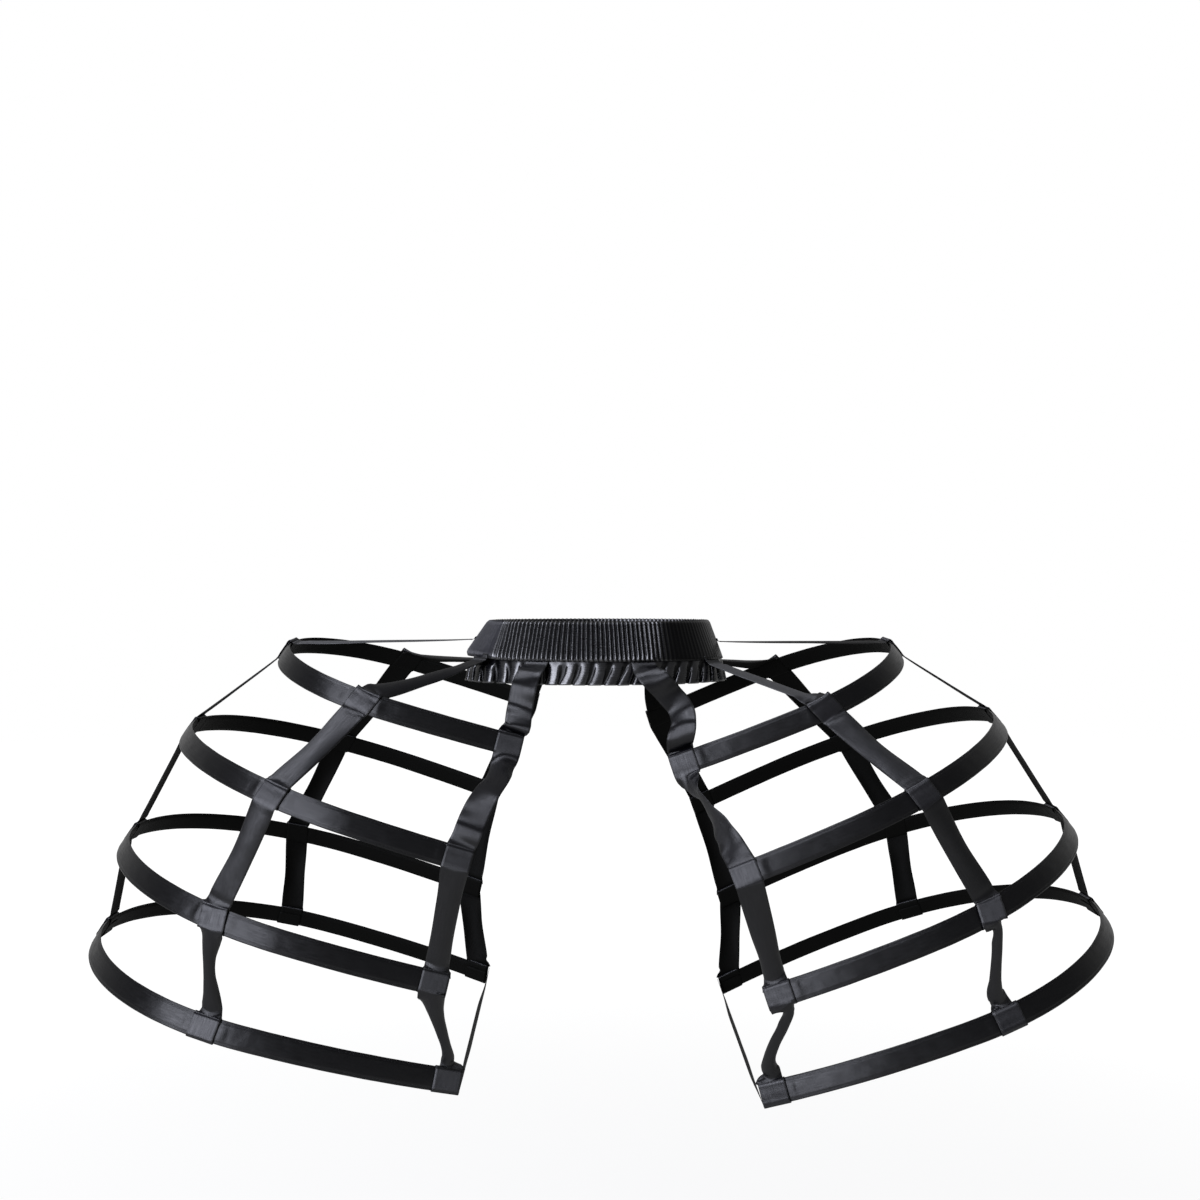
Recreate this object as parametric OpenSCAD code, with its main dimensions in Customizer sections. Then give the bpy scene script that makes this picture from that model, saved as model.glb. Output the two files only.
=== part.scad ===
// Crinoline cage: two side baskets of boned ribbon hoops, hung by ribbon straps from a gathered waistband.
// X runs across the wearer, the front faces -Y, Z is up and the origin is at the middle of the waistband.
// Sizes are in millimetres and degrees.

/* [Waistband] */
// Width of the waist line, side to side at mid height
waist_w = 238; // [220:1:300]
// Depth of the waist line, front to back at mid height
waist_d = 184; // [150:1:210]
// Direction, from the side, at which the side curve meets the front curve
waist_turn = 50; // [40:1:60]
// Height of the gathered casing
band_h = 41; // [30:1:60]
// Flare of the casing towards the hips
band_flare = 20; // [5:1:28]
// Cloth left above and below the elastic
casing_margin = 5; // [4:0.5:8]
// Thickness of the elastic
elastic_t = 1.4; // [1:0.1:2.5]
// Number of gathers round the casing
gathers = 100; // [60:4:120]
// Depth of a gather, from the middle of its wave to its crest
gather_depth = 1.3; // [0.6:0.1:2]
// Height of the frill below the casing
frill_h = 21; // [10:1:30]
// Number of folds round the frill
frill_folds = 48; // [36:4:64]
// Depth of a frill fold at the hem, from the middle of its wave to its crest
frill_depth = 3.6; // [2:0.1:5]
// Flare of the frill
frill_flare = 6; // [0:1:12]

/* [Hoops, top one first] */
// Reach of the lowest, widest hoop along its own plane, from the middle of the body to its nose
hem_reach = 531; // [510:1:600]
// Reach of the three hoops above it
upper_reach = [330, 438, 503]; // [300:1:560]
// Height of the lowest hoop's plane at the middle of the body
hem_level = -444; // [-520:1:-430]
// Height of the planes of the three hoops above it
upper_level = [-120, -241, -357]; // [-400:1:-100]
// Where the ends of each hoop stop, along its own plane from the middle of the body
hoop_inner = [70, 122, 149, 142]; // [60:1:180]
// Radius of each hoop's half-round nose
hoop_nose_r = [129, 205, 203, 193]; // [110:1:230]
// Rise of each hoop towards its nose
hoop_rise = [19.5, 21, 19.5, 17.5]; // [10:0.5:24]
// Dip of each hoop towards the front
hoop_dip = [6, 0, 0, 0]; // [0:0.5:8]
// Radius of the long, gently curved runs from the nose to the ends
run_r = 640; // [400:10:900]

/* [Casing and bone] */
// Width of the casing ribbon
casing_w = 21; // [19:0.5:28]
// Lean of the casing, top edge inwards, from square to its hoop
casing_lean = 18; // [0:1:28]
// Width of the flat bone
bone_w = 13; // [8:0.5:14]
// Thickness of the flat bone
bone_t = 1.2; // [0.8:0.1:2]
// Length sewn shut at each end of a casing
seam_l = 6; // [4:0.5:10]
// Width of the ribbon that ties the ends of the lowest hoop
tie_w = 18; // [10:1:22]

/* [Straps] */
// Width of the ribbon that straps and wraps are cut from
strap_w = 25; // [18:0.5:30]
// Distance of the front quarter strap from the front end of each hoop
front_quarter_at = [155, 187, 215, 233]; // [120:1:260]
// Distance of the back quarter strap from the back end of each hoop
back_quarter_at = [155, 199, 229, 245]; // [120:1:260]
// Directions from the side in which the inner, quarter and side straps leave the waist
waist_fan = [66, 35, 0]; // [0:1:80]
// Height of the side strap's seat, below the middle of the casing
side_seat = 6; // [0:1:12]
// Share of its width that a slack strap loses where it is pinched
pinch = 0.62; // [0:0.02:0.7]
// How far the slack top length of an inner strap stands off the frill
slack_bow = 10; // [6:0.5:16]

/* [Cloth and fit] */
// Thickness of the ribbon and casing cloth
cloth_t = 0.7; // [0.5:0.05:1]
// Clearance between pieces that are sewn together
clearance = 0.3; // [0.2:0.05:0.5]

/* [Hang] */
// Roll of both baskets on their straps, the wearer's left side up
basket_roll = 2.4; // [0:0.1:3]
// Centre of that roll, across from the middle of the body and above the origin
roll_centre = [300, -200]; // [-300:1:400]

/* [Hidden] */
$fn = 72;

// Colours of the black satin, the bone and the elastic
SATIN = "#232326";
SATIN_LIGHT = "#3a3a3f";
BONE = "#8d8f92";
ELASTIC = "#1b1b1d";

// Sides, hoops and straps, the straps by their number from the front round to the back
LEFT = -1;
RIGHT = 1;
hoop_reach = concat(upper_reach, [hem_reach]);
hoop_level = concat(upper_level, [hem_level]);
LOWEST = len(hoop_reach) - 1;
HOOPS = [0 : LOWEST];
STRAPS = ["front_inner", "front_quarter", "side", "back_quarter", "back_inner"];
FRONT_INNER = 0;
FRONT_QUARTER = 1;
SIDE = 2;
BACK_QUARTER = 3;
BACK_INNER = 4;
RAD = 180 / PI;

// Waist line: an oval of four tangent arcs
waist_a = waist_w / 2;
waist_b = waist_d / 2;
arc_step = (waist_a - waist_b) / (cos(waist_turn) + sin(waist_turn) - 1);
side_r = waist_a - arc_step * cos(waist_turn);
front_r = side_r + arc_step;
side_cx = arc_step * cos(waist_turn);
front_cy = arc_step * sin(waist_turn);
side_len = side_r * waist_turn / RAD;
front_len = front_r * (90 - waist_turn) / RAD;

// Layers of the waistband, measured outwards from the middle of the elastic
elastic_h = band_h - 2 * casing_margin;
channel_half = elastic_t / 2 + clearance;
frill_tuck = casing_margin - 2 * clearance;
crest_off = channel_half + cloth_t + 2 * gather_depth;
gather_steps = 4;
frill_steps = 6;
elastic_steps = 60;

// Unevenness of hand gathering: how far gathers, folds and the hem stray, and the steps that mix them
gather_stray = 0.25;
fold_stray = 0.2;
hem_stray = 1.5;
gather_mix = 73;
fold_mix = 97;
hem_mix = 61;

// Layers of a hoop, measured from the middle of the bone
casing_mid = bone_t / 2 + clearance + cloth_t;
casing_edge = cloth_t;
casing_flat = bone_w / 2 + 2 * clearance;
wrap_in = clearance;
wrap_out = clearance + cloth_t;
seat_gap = clearance + cloth_t / 2;
edge_seat = casing_w / 2 + wrap_out + seat_gap;
end_gap = 2 * clearance;

// Ribbons: the length of a wrap along its hoop, rings along each one, and the share of a length over which
// it turns from its seat
wrap_l = strap_w;
strap_rings = 8;
tie_rings = 6;
lay_share = 1 / 6;
half_turn = 180;

function unit(v) = v / norm(v);
function blend(a, b, t) = a + (b - a) * t;
function uneven(i, stray, mix) = 1 - stray * (1 - sin(mix * i));
function turn_y(p, a) = [p.x * cos(a) + p.z * sin(a), p.y, p.z * cos(a) - p.x * sin(a)];
function turn_x(p, a) = [p.x, p.y * cos(a) - p.z * sin(a), p.y * sin(a) + p.z * cos(a)];

// Waist line, by the direction f that it faces and an offset outwards
function facing(f) = f > 180 ? f - 360 : f;
function at_side(f) = abs(facing(f)) <= waist_turn || abs(facing(f)) >= 180 - waist_turn;
function oval_centre(f) = at_side(f) ? [cos(f) < 0 ? -side_cx : side_cx, 0]
                                     : [0, sin(f) > 0 ? -front_cy : front_cy];
function oval_point(f, off) = oval_centre(f) + ((at_side(f) ? side_r : front_r) + off) * [cos(f), sin(f)];

// Direction that the waist line faces after t quarters of its length
function quarter_facing(u) =
    let (s = u * (side_len + front_len))
    s <= side_len ? s / side_r * RAD : waist_turn + (s - side_len) / front_r * RAD;
function oval_facing(t) =
    let (k = floor(t), u = t - k)
    k % 2 == 0 ? k * 90 + quarter_facing(u) : (k + 1) * 90 - quarter_facing(1 - u);

// A point of the flared band, at offset off from its middle surface and height h along it
function band_point(f, off, h) =
    let (p = oval_point(f, off * cos(band_flare) - h * sin(band_flare)))
    [p.x, p.y, h * cos(band_flare) + off * sin(band_flare)];

// Hoop outline: a half-round nose and two runs, by the signed distance s from the nose, front negative
function nose_len(k) = hoop_nose_r[k] * 90 / RAD;
function nose_cx(k) = hoop_reach[k] - hoop_nose_r[k];
function run_cy(k) = hoop_nose_r[k] - run_r;
function end_turn(k) = acos((hoop_inner[k] - nose_cx(k)) / run_r);
function half_len(k) = nose_len(k) + run_r * (end_turn(k) - 90) / RAD;
function on_nose(k, s) = abs(s) <= nose_len(k);
function hoop_turn(k, s) = on_nose(k, s) ? s / hoop_nose_r[k] * RAD
                                         : sign(s) * (90 + (abs(s) - nose_len(k)) / run_r * RAD);
function hoop_centre(k, s) = [nose_cx(k), on_nose(k, s) ? 0 : sign(s) * run_cy(k)];

// From a hoop's own plane to the basket, and from a basket to the whole cage
function from_plane(k, p) = [0, 0, hoop_level[k]] + turn_y(turn_x(p, hoop_dip[k]), -hoop_rise[k]);
function hang(side, p) =
    let (c = [side * roll_centre[0], 0, roll_centre[1]])
    c + turn_y([side * p.x, p.y, p.z] - c, -basket_roll);

// A point at distance s along a hoop, q up its leaning casing and d along the hoop from there
function hoop_point(side, k, s, q, d = 0) =
    let (a = hoop_turn(k, s), c = hoop_centre(k, s))
    let (r = (on_nose(k, s) ? hoop_nose_r[k] : run_r) - q * sin(casing_lean))
    let (p = c + r * [cos(a), sin(a)] + d * [-sin(a), cos(a)])
    hang(side, from_plane(k, [p.x, p.y, q * cos(casing_lean)]));
function hoop_along(side, k, s) = unit(hoop_point(side, k, s, 0, 1) - hoop_point(side, k, s, 0, 0));

// Where strap i crosses hoop k, as the signed distance from the nose
function wrap_at(k) = half_len(k) - wrap_l / 2 - end_gap;
function crossing(i, k) = i == FRONT_INNER ? -wrap_at(k)
                        : i == FRONT_QUARTER ? front_quarter_at[k] - half_len(k)
                        : i == SIDE ? 0
                        : i == BACK_QUARTER ? half_len(k) - back_quarter_at[k]
                        : wrap_at(k);

// Where strap i is sewn to the waistband, and the direction of its width there
function strap_facing(side, i) =
    let (f = waist_fan[min(i, BACK_INNER - i)] * (i < SIDE ? -1 : 1))
    side == RIGHT ? f : (f < 0 ? -180 - f : 180 - f);
function waist_seat(side, i) =
    i == SIDE ? band_point(strap_facing(side, i), crest_off + seat_gap, -side_seat)
              : band_point(strap_facing(side, i), channel_half + cloth_t / 2, -band_h / 2 - seat_gap);
function waist_along(side, i) =
    let (f = strap_facing(side, i))
    side * [-sin(f), cos(f), 0];

// A slack ribbon's bow: its height as a share of the highest, and its slope
function arch(t) = 4 * t * (1 - t);
function arch_slope(t) = 4 * (1 - 2 * t);

// Rings of a ribbon from p0 to p1, with its width along w0 at the start and w1 at the end.
// A ribbon twisted by a half turn lands on its other face.
function ribbon_rings(p0, w0, p1, w1, width, bow, twist, squeeze, n) = [
    for (i = [0 : n])
    let (t = i / n)
    let (d = unit(p1 - p0 + bow * arch_slope(t)))
    let (c = blend(p0, p1, t) + bow * arch(t))
    let (flip = twist == half_turn && t > 0.5 ? -1 : 1)
    let (laid = unit(blend(w0, w1, t)))
    let (square_to = unit(laid - d * (d * laid)))
    let (turned = square_to * cos(twist * t) + cross(d, square_to) * sin(twist * t))
    let (free = min(1, min(t, 1 - t) / lay_share))
    let (w = unit(blend(laid * flip, turned, free)))
    let (half_w = w * width / 2 * (1 - squeeze * pow(sin(180 * t), 2)))
    let (half_t = unit(cross(d, w)) * cloth_t / 2)
    [c - half_w - half_t, c + half_w - half_t, c + half_w + half_t, c - half_w + half_t]
];

// Solid skin over a list of rings, closed by end caps or joined end to end.
// The two faces of a sheet are split along the same diagonal, so that a twist keeps its thickness.
module skin(rings, closed = false) {
    m = len(rings[0]);
    n = len(rings);
    sides = [
        for (i = [0 : closed ? n - 1 : n - 2])
        for (j = [0 : m - 1])
        let (a = i * m, b = (i + 1) % n * m, j1 = (j + 1) % m)
        each j < m / 2 ? [[a + j, b + j, b + j1], [a + j, b + j1, a + j1]]
                       : [[a + j, b + j, a + j1], [b + j, b + j1, a + j1]]
    ];
    caps = closed ? [] : [[for (j = [0 : m - 1]) j], [for (j = [m - 1 : -1 : 0]) (n - 1) * m + j]];
    polyhedron([for (ring = rings) each ring], concat(sides, caps), convexity = 10);
}

// Gathered casing: a strip folded over the elastic, open along its lower seam
module waistband_casing() {
    count = gathers * gather_steps;
    top = band_h / 2;
    low = elastic_h / 2;
    rings = [
        for (i = [0 : count - 1])
        let (f = oval_facing(4 * i / count))
        let (g = floor(i / gather_steps))
        let (wave = gather_depth * (1 + uneven(g, gather_stray, gather_mix) * cos(360 * i / gather_steps)))
        let (out = channel_half + wave)
        [
            band_point(f, channel_half, -top),
            band_point(f, channel_half + cloth_t, -top),
            band_point(f, out + cloth_t, -low),
            band_point(f, out + cloth_t, low),
            band_point(f, channel_half, top),
            band_point(f, -channel_half - cloth_t, low),
            band_point(f, -channel_half - cloth_t, -top),
            band_point(f, -channel_half, -top),
            band_point(f, -channel_half, low + clearance),
            band_point(f, out, low + clearance)
        ]
    ];
    color(SATIN) skin(rings, closed = true);
}

// Flat elastic inside the casing
module waistband_elastic() {
    half_t = elastic_t / 2;
    half_h = elastic_h / 2;
    rings = [
        for (i = [0 : elastic_steps - 1])
        let (f = oval_facing(4 * i / elastic_steps))
        [
            band_point(f, -half_t, -half_h),
            band_point(f, half_t, -half_h),
            band_point(f, half_t, half_h),
            band_point(f, -half_t, half_h)
        ]
    ];
    color(ELASTIC) skin(rings, closed = true);
}

// Frill: its top edge is caught between the two layers of the casing's lower seam
module waist_frill() {
    count = frill_folds * frill_steps;
    seam = -band_h / 2;
    neck = seam - cloth_t - clearance;
    hang_out = frill_h * sin(frill_flare);
    rings = [
        for (i = [0 : count - 1])
        let (f = oval_facing(4 * i / count))
        let (g = floor(i / frill_steps))
        let (wave = frill_depth * uneven(g, fold_stray, fold_mix) * cos(360 * i / frill_steps))
        let (neck_p = band_point(f, 0, neck), out = [cos(f), sin(f), 0])
        let (hem = neck_p + out * (hang_out + wave) - [0, 0, frill_h + hem_stray * sin(hem_mix * g)])
        let (half = out * cloth_t / 2)
        [
            band_point(f, -cloth_t / 2, seam + frill_tuck),
            neck_p - half,
            hem - half,
            hem + half,
            neck_p + half,
            band_point(f, cloth_t / 2, seam + frill_tuck)
        ]
    ];
    color(SATIN) skin(rings, closed = true);
}

// Places a piece of the right-hand basket on either side
module basket(side) {
    centre = [side * roll_centre[0], 0, roll_centre[1]];
    translate(centre)
        rotate([0, -basket_roll, 0])
            translate(-centre)
                mirror([side == LEFT ? 1 : 0, 0, 0])
                    children();
}

// Lays a piece drawn in hoop k's own plane into the basket
module hoop_plane(k) {
    translate([0, 0, hoop_level[k]])
        rotate([0, -hoop_rise[k], 0])
            rotate([hoop_dip[k], 0, 0])
                children();
}

// Sweeps a leaning profile round one arc of a hoop, from an angle through a turn
module hoop_arc(r, from, turn) {
    rotate_extrude(start = from, angle = turn)
        translate([r, 0])
            rotate(casing_lean)
                children();
}

// Sweeps a profile along hoop k, in its own plane, between two distances from its nose
module hoop_sweep(k, from, to) {
    nose = nose_len(k);
    nose_r = hoop_nose_r[k];
    nose_from = max(from, -nose);
    nose_to = min(to, nose);
    if (nose_to > nose_from)
        translate([nose_cx(k), 0])
            hoop_arc(nose_r, nose_from / nose_r * RAD, (nose_to - nose_from) / nose_r * RAD)
                children();
    for (front = [0, 1]) {
        run_from = max(front == 1 ? -to : from, nose);
        run_to = front == 1 ? -from : to;
        if (run_to > run_from)
            mirror([0, front, 0])
                translate([nose_cx(k), run_cy(k)])
                    hoop_arc(run_r, 90 + (run_from - nose) / run_r * RAD, (run_to - run_from) / run_r * RAD)
                        children();
    }
}

// Section of a casing: flat over the bone, thin where its edges are stitched, grown all round by g
module casing_section(g = 0) {
    w = casing_w / 2 + g;
    e = casing_edge + g;
    m = casing_mid + g;
    h = casing_flat + g;
    polygon([[-e, w], [-m, h], [-m, -h], [-e, -w], [e, -w], [m, -h], [m, h], [e, w]]);
}

// Casing: a ribbon tube round the bone, sewn shut at both ends
module hoop_casing(side, k) {
    shut = half_len(k);
    open_to = shut - seam_l;
    color(SATIN)
        basket(side)
            hoop_plane(k)
                difference() {
                    hoop_sweep(k, -shut, shut)
                        casing_section();
                    hoop_sweep(k, -open_to, open_to)
                        square([bone_t + 2 * clearance, bone_w + 2 * clearance], center = true);
                }
}

module hoop_bone(side, k) {
    bone_to = half_len(k) - seam_l - clearance;
    color(BONE)
        basket(side)
            hoop_plane(k)
                hoop_sweep(k, -bone_to, bone_to)
                    square([bone_t, bone_w], center = true);
}

// Short ribbon sleeves that hold one strap to the four hoops
module wraps(side, i) {
    color(SATIN_LIGHT)
        basket(side)
            for (k = HOOPS)
                hoop_plane(k)
                    hoop_sweep(k, crossing(i, k) - wrap_l / 2, crossing(i, k) + wrap_l / 2)
                        difference() {
                            casing_section(wrap_out);
                            casing_section(wrap_in);
                        }
}

// One strap: a length from the waist to the top hoop, then one from each hoop to the next
module strap(side, i) {
    inner = i == FRONT_INNER || i == BACK_INNER;
    slack = i == FRONT_INNER || i == FRONT_QUARTER;
    straight = [0, 0, 0];
    bow = inner ? [0, i < SIDE ? -slack_bow : slack_bow, 0] : straight;
    tops = [for (k = HOOPS) hoop_point(side, k, crossing(i, k), edge_seat)];
    feet = [for (k = HOOPS) hoop_point(side, k, crossing(i, k), -edge_seat)];
    along = [for (k = HOOPS) hoop_along(side, k, crossing(i, k))];
    color(SATIN) {
        skin(ribbon_rings(
            waist_seat(side, i), waist_along(side, i), tops[0], along[0],
            strap_w, bow, 0, inner ? pinch / 2 : 0, strap_rings));
        for (k = [0 : LOWEST - 1]) {
            twist = i == FRONT_INNER && k == 0 ? half_turn : 0;
            squeeze = slack && k == LOWEST - 1 ? pinch : 0;
            skin(ribbon_rings(
                feet[k], along[k], tops[k + 1], along[k + 1],
                strap_w, straight, twist, squeeze, strap_rings));
        }
    }
}

// Flat ribbon that draws the two ends of the lowest hoop together
module inner_tie(side) {
    end = half_len(LOWEST);
    front = hoop_point(side, LOWEST, -end, 0, -seat_gap - clearance);
    back = hoop_point(side, LOWEST, end, 0, seat_gap + clearance);
    up = unit(hang(side, from_plane(LOWEST, [0, 0, 1])) - hang(side, from_plane(LOWEST, [0, 0, 0])));
    color(SATIN)
        skin(ribbon_rings(front, up, back, up, tie_w, [0, 0, 0], 0, 0, tie_rings));
}

waistband_casing();
waistband_elastic();
waist_frill();
for (side = [LEFT, RIGHT]) {
    hand = side == LEFT ? "left_" : "right_";
    for (k = HOOPS) {
        hoop_casing(side, k);
        hoop_bone(side, k);
    }
    for (i = [0 : len(STRAPS) - 1]) {
        strap(side, i);
        wraps(side, i);
    }
    inner_tie(side);
}
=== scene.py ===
"""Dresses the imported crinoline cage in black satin: hoops, straps, wraps, ties, waistband and frill.

Sizes are in millimetres and angles in degrees until a piece becomes a mesh, which is in metres.
"""

import logging
import math
from bisect import bisect_right
from dataclasses import dataclass, field
from enum import Enum, IntEnum
from typing import Any, Callable, Sequence

import bmesh
import bpy
from mathutils import Matrix, Vector, noise


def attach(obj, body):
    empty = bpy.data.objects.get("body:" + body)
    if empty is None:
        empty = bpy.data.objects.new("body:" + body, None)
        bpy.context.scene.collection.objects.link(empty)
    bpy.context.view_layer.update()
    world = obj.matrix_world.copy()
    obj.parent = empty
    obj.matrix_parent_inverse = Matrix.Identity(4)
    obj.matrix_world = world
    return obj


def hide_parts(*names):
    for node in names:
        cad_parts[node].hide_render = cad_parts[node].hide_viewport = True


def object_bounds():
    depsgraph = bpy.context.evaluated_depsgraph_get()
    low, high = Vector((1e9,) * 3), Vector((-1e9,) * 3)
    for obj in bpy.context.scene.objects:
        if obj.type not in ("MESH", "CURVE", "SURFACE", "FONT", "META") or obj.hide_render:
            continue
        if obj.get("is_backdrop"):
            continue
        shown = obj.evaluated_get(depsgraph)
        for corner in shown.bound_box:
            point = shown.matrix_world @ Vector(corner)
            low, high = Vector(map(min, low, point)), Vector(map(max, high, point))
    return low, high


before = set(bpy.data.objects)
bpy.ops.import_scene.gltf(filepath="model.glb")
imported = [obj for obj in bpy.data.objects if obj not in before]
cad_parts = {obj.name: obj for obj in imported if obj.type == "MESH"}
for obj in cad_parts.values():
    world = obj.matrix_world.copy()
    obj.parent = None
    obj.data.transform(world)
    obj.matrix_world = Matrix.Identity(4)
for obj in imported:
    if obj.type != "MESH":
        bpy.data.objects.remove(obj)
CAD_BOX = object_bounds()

LOG = logging.getLogger("crinoline")
MM = 0.001
ROOT = "root"
FLAT_MAP = "flat_cut"
# Name of the corner value that says how far cloth stands out of its fold; the gathered satin turns low values
# into painted shade
FOLD = "fold_crest"
WELD = 0.001
SEED_STEP = 7.31
# A wave texture turns by this many radians for each unit of its scale
WAVE_RATE = 20

# Sizes that several pieces share
STRAP_W = 25.0
WRAP_L = 25.0
CASING_W = 21.0
BAND_H = 41.0
CLOTH_T = 0.35
# How far the waistband's gathers stand out, and half of the channel that holds its elastic
CREST_H = 2.6
CHANNEL_HALF = 1.0
# How far a hoop runs on past its last wrap, and the most that a strap strays over a hoop's band
END_GAP = 0.6
MOST_SKEW = 0.7
# Directions from the side in which the inner, quarter and side straps leave the waist
WAIST_FAN = (66.0, 35.0, 0.0)

Placer = Callable[[float, float], Vector]
Crest = Callable[[float, float], float]
Slot = Callable[[float, float], int]
Pairs = tuple[tuple[float, float], ...]
Pattern = tuple[bpy.types.NodeSocket, dict[str, Any]]


class Side(IntEnum):
    """Baskets, by the side of the picture that they hang on."""

    LEFT = -1
    RIGHT = 1

    @property
    def hand(self) -> str:
        """The word that starts a piece's name."""
        return self.name.lower()


class Place(IntEnum):
    """Straps of one basket, from the front round to the back."""

    FRONT_INNER = 0
    FRONT_QUARTER = 1
    SIDE = 2
    BACK_QUARTER = 3
    BACK_INNER = 4

    @property
    def label(self) -> str:
        """The words for it in a piece's name."""
        return self.name.lower()

    @property
    def is_inner(self) -> bool:
        """True for a strap that lands on the ends of the hoops."""
        return self in (Place.FRONT_INNER, Place.BACK_INNER)


class Hold(Enum):
    """How a sheet of cloth is held."""

    GATHERED = "gathered"
    FOLDED = "folded"
    STRETCHED = "stretched"
    HUNG = "hung"


# Small helpers


def linear(hex_colour: str) -> tuple[float, float, float, float]:
    """Turns an sRGB hex colour into linear light.

    Args:
        hex_colour: Six hex digits after a hash sign.

    Returns:
        Red, green, blue and an alpha of 1.
    """
    parts = [int(hex_colour[i : i + 2], 16) / 255 for i in (1, 3, 5)]
    red, green, blue = [p / 12.92 if p <= 0.04045 else ((p + 0.055) / 1.055) ** 2.4 for p in parts]
    return red, green, blue, 1.0


def smooth(low: float, high: float, x: float) -> float:
    """Rises smoothly from 0 at low to 1 at high."""
    t = min(1.0, max(0.0, (x - low) / (high - low)))
    return t * t * (3 - 2 * t)


def seam_fade(quarters: float, fade: float = 0.2) -> float:
    """Falls from 1 to 0 at both ends of a strip that goes once round the waist."""
    return smooth(0, fade, quarters) * smooth(0, fade, 4 - quarters)


@dataclass(frozen=True)
class Waver:
    """Smooth, repeatable unevenness: how far it goes either way, its seed, and how quickly it changes."""

    size: float
    rate: float
    seed: float = 0.0
    rate_y: float = 1.0

    def at(self, x: float, y: float = 0.0, apart: float = 0.0) -> float:
        """Its value at a place, with the seed moved so that two pieces differ."""
        seed = (self.seed + apart) * SEED_STEP
        return self.size * noise.noise(Vector((x * self.rate, y * self.rate_y, seed)))


def put_in_scene(name: str, data: bpy.types.ID) -> bpy.types.Object:
    """Puts new data in the scene as an object at the origin.

    Args:
        name: The object's name.
        data: What it shows.

    Returns:
        The object.
    """
    made = bpy.data.objects.new(name, data)
    bpy.context.scene.collection.objects.link(made)
    return made


def put_mesh(name: str, mesh: bmesh.types.BMesh) -> bpy.types.Object:
    """Puts a finished bmesh in the scene and frees it.

    Args:
        name: The object's name.
        mesh: The bmesh.

    Returns:
        The object.
    """
    data = bpy.data.meshes.new(name)
    mesh.to_mesh(data)
    mesh.free()
    return put_in_scene(name, data)


# The frame's lines


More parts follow.
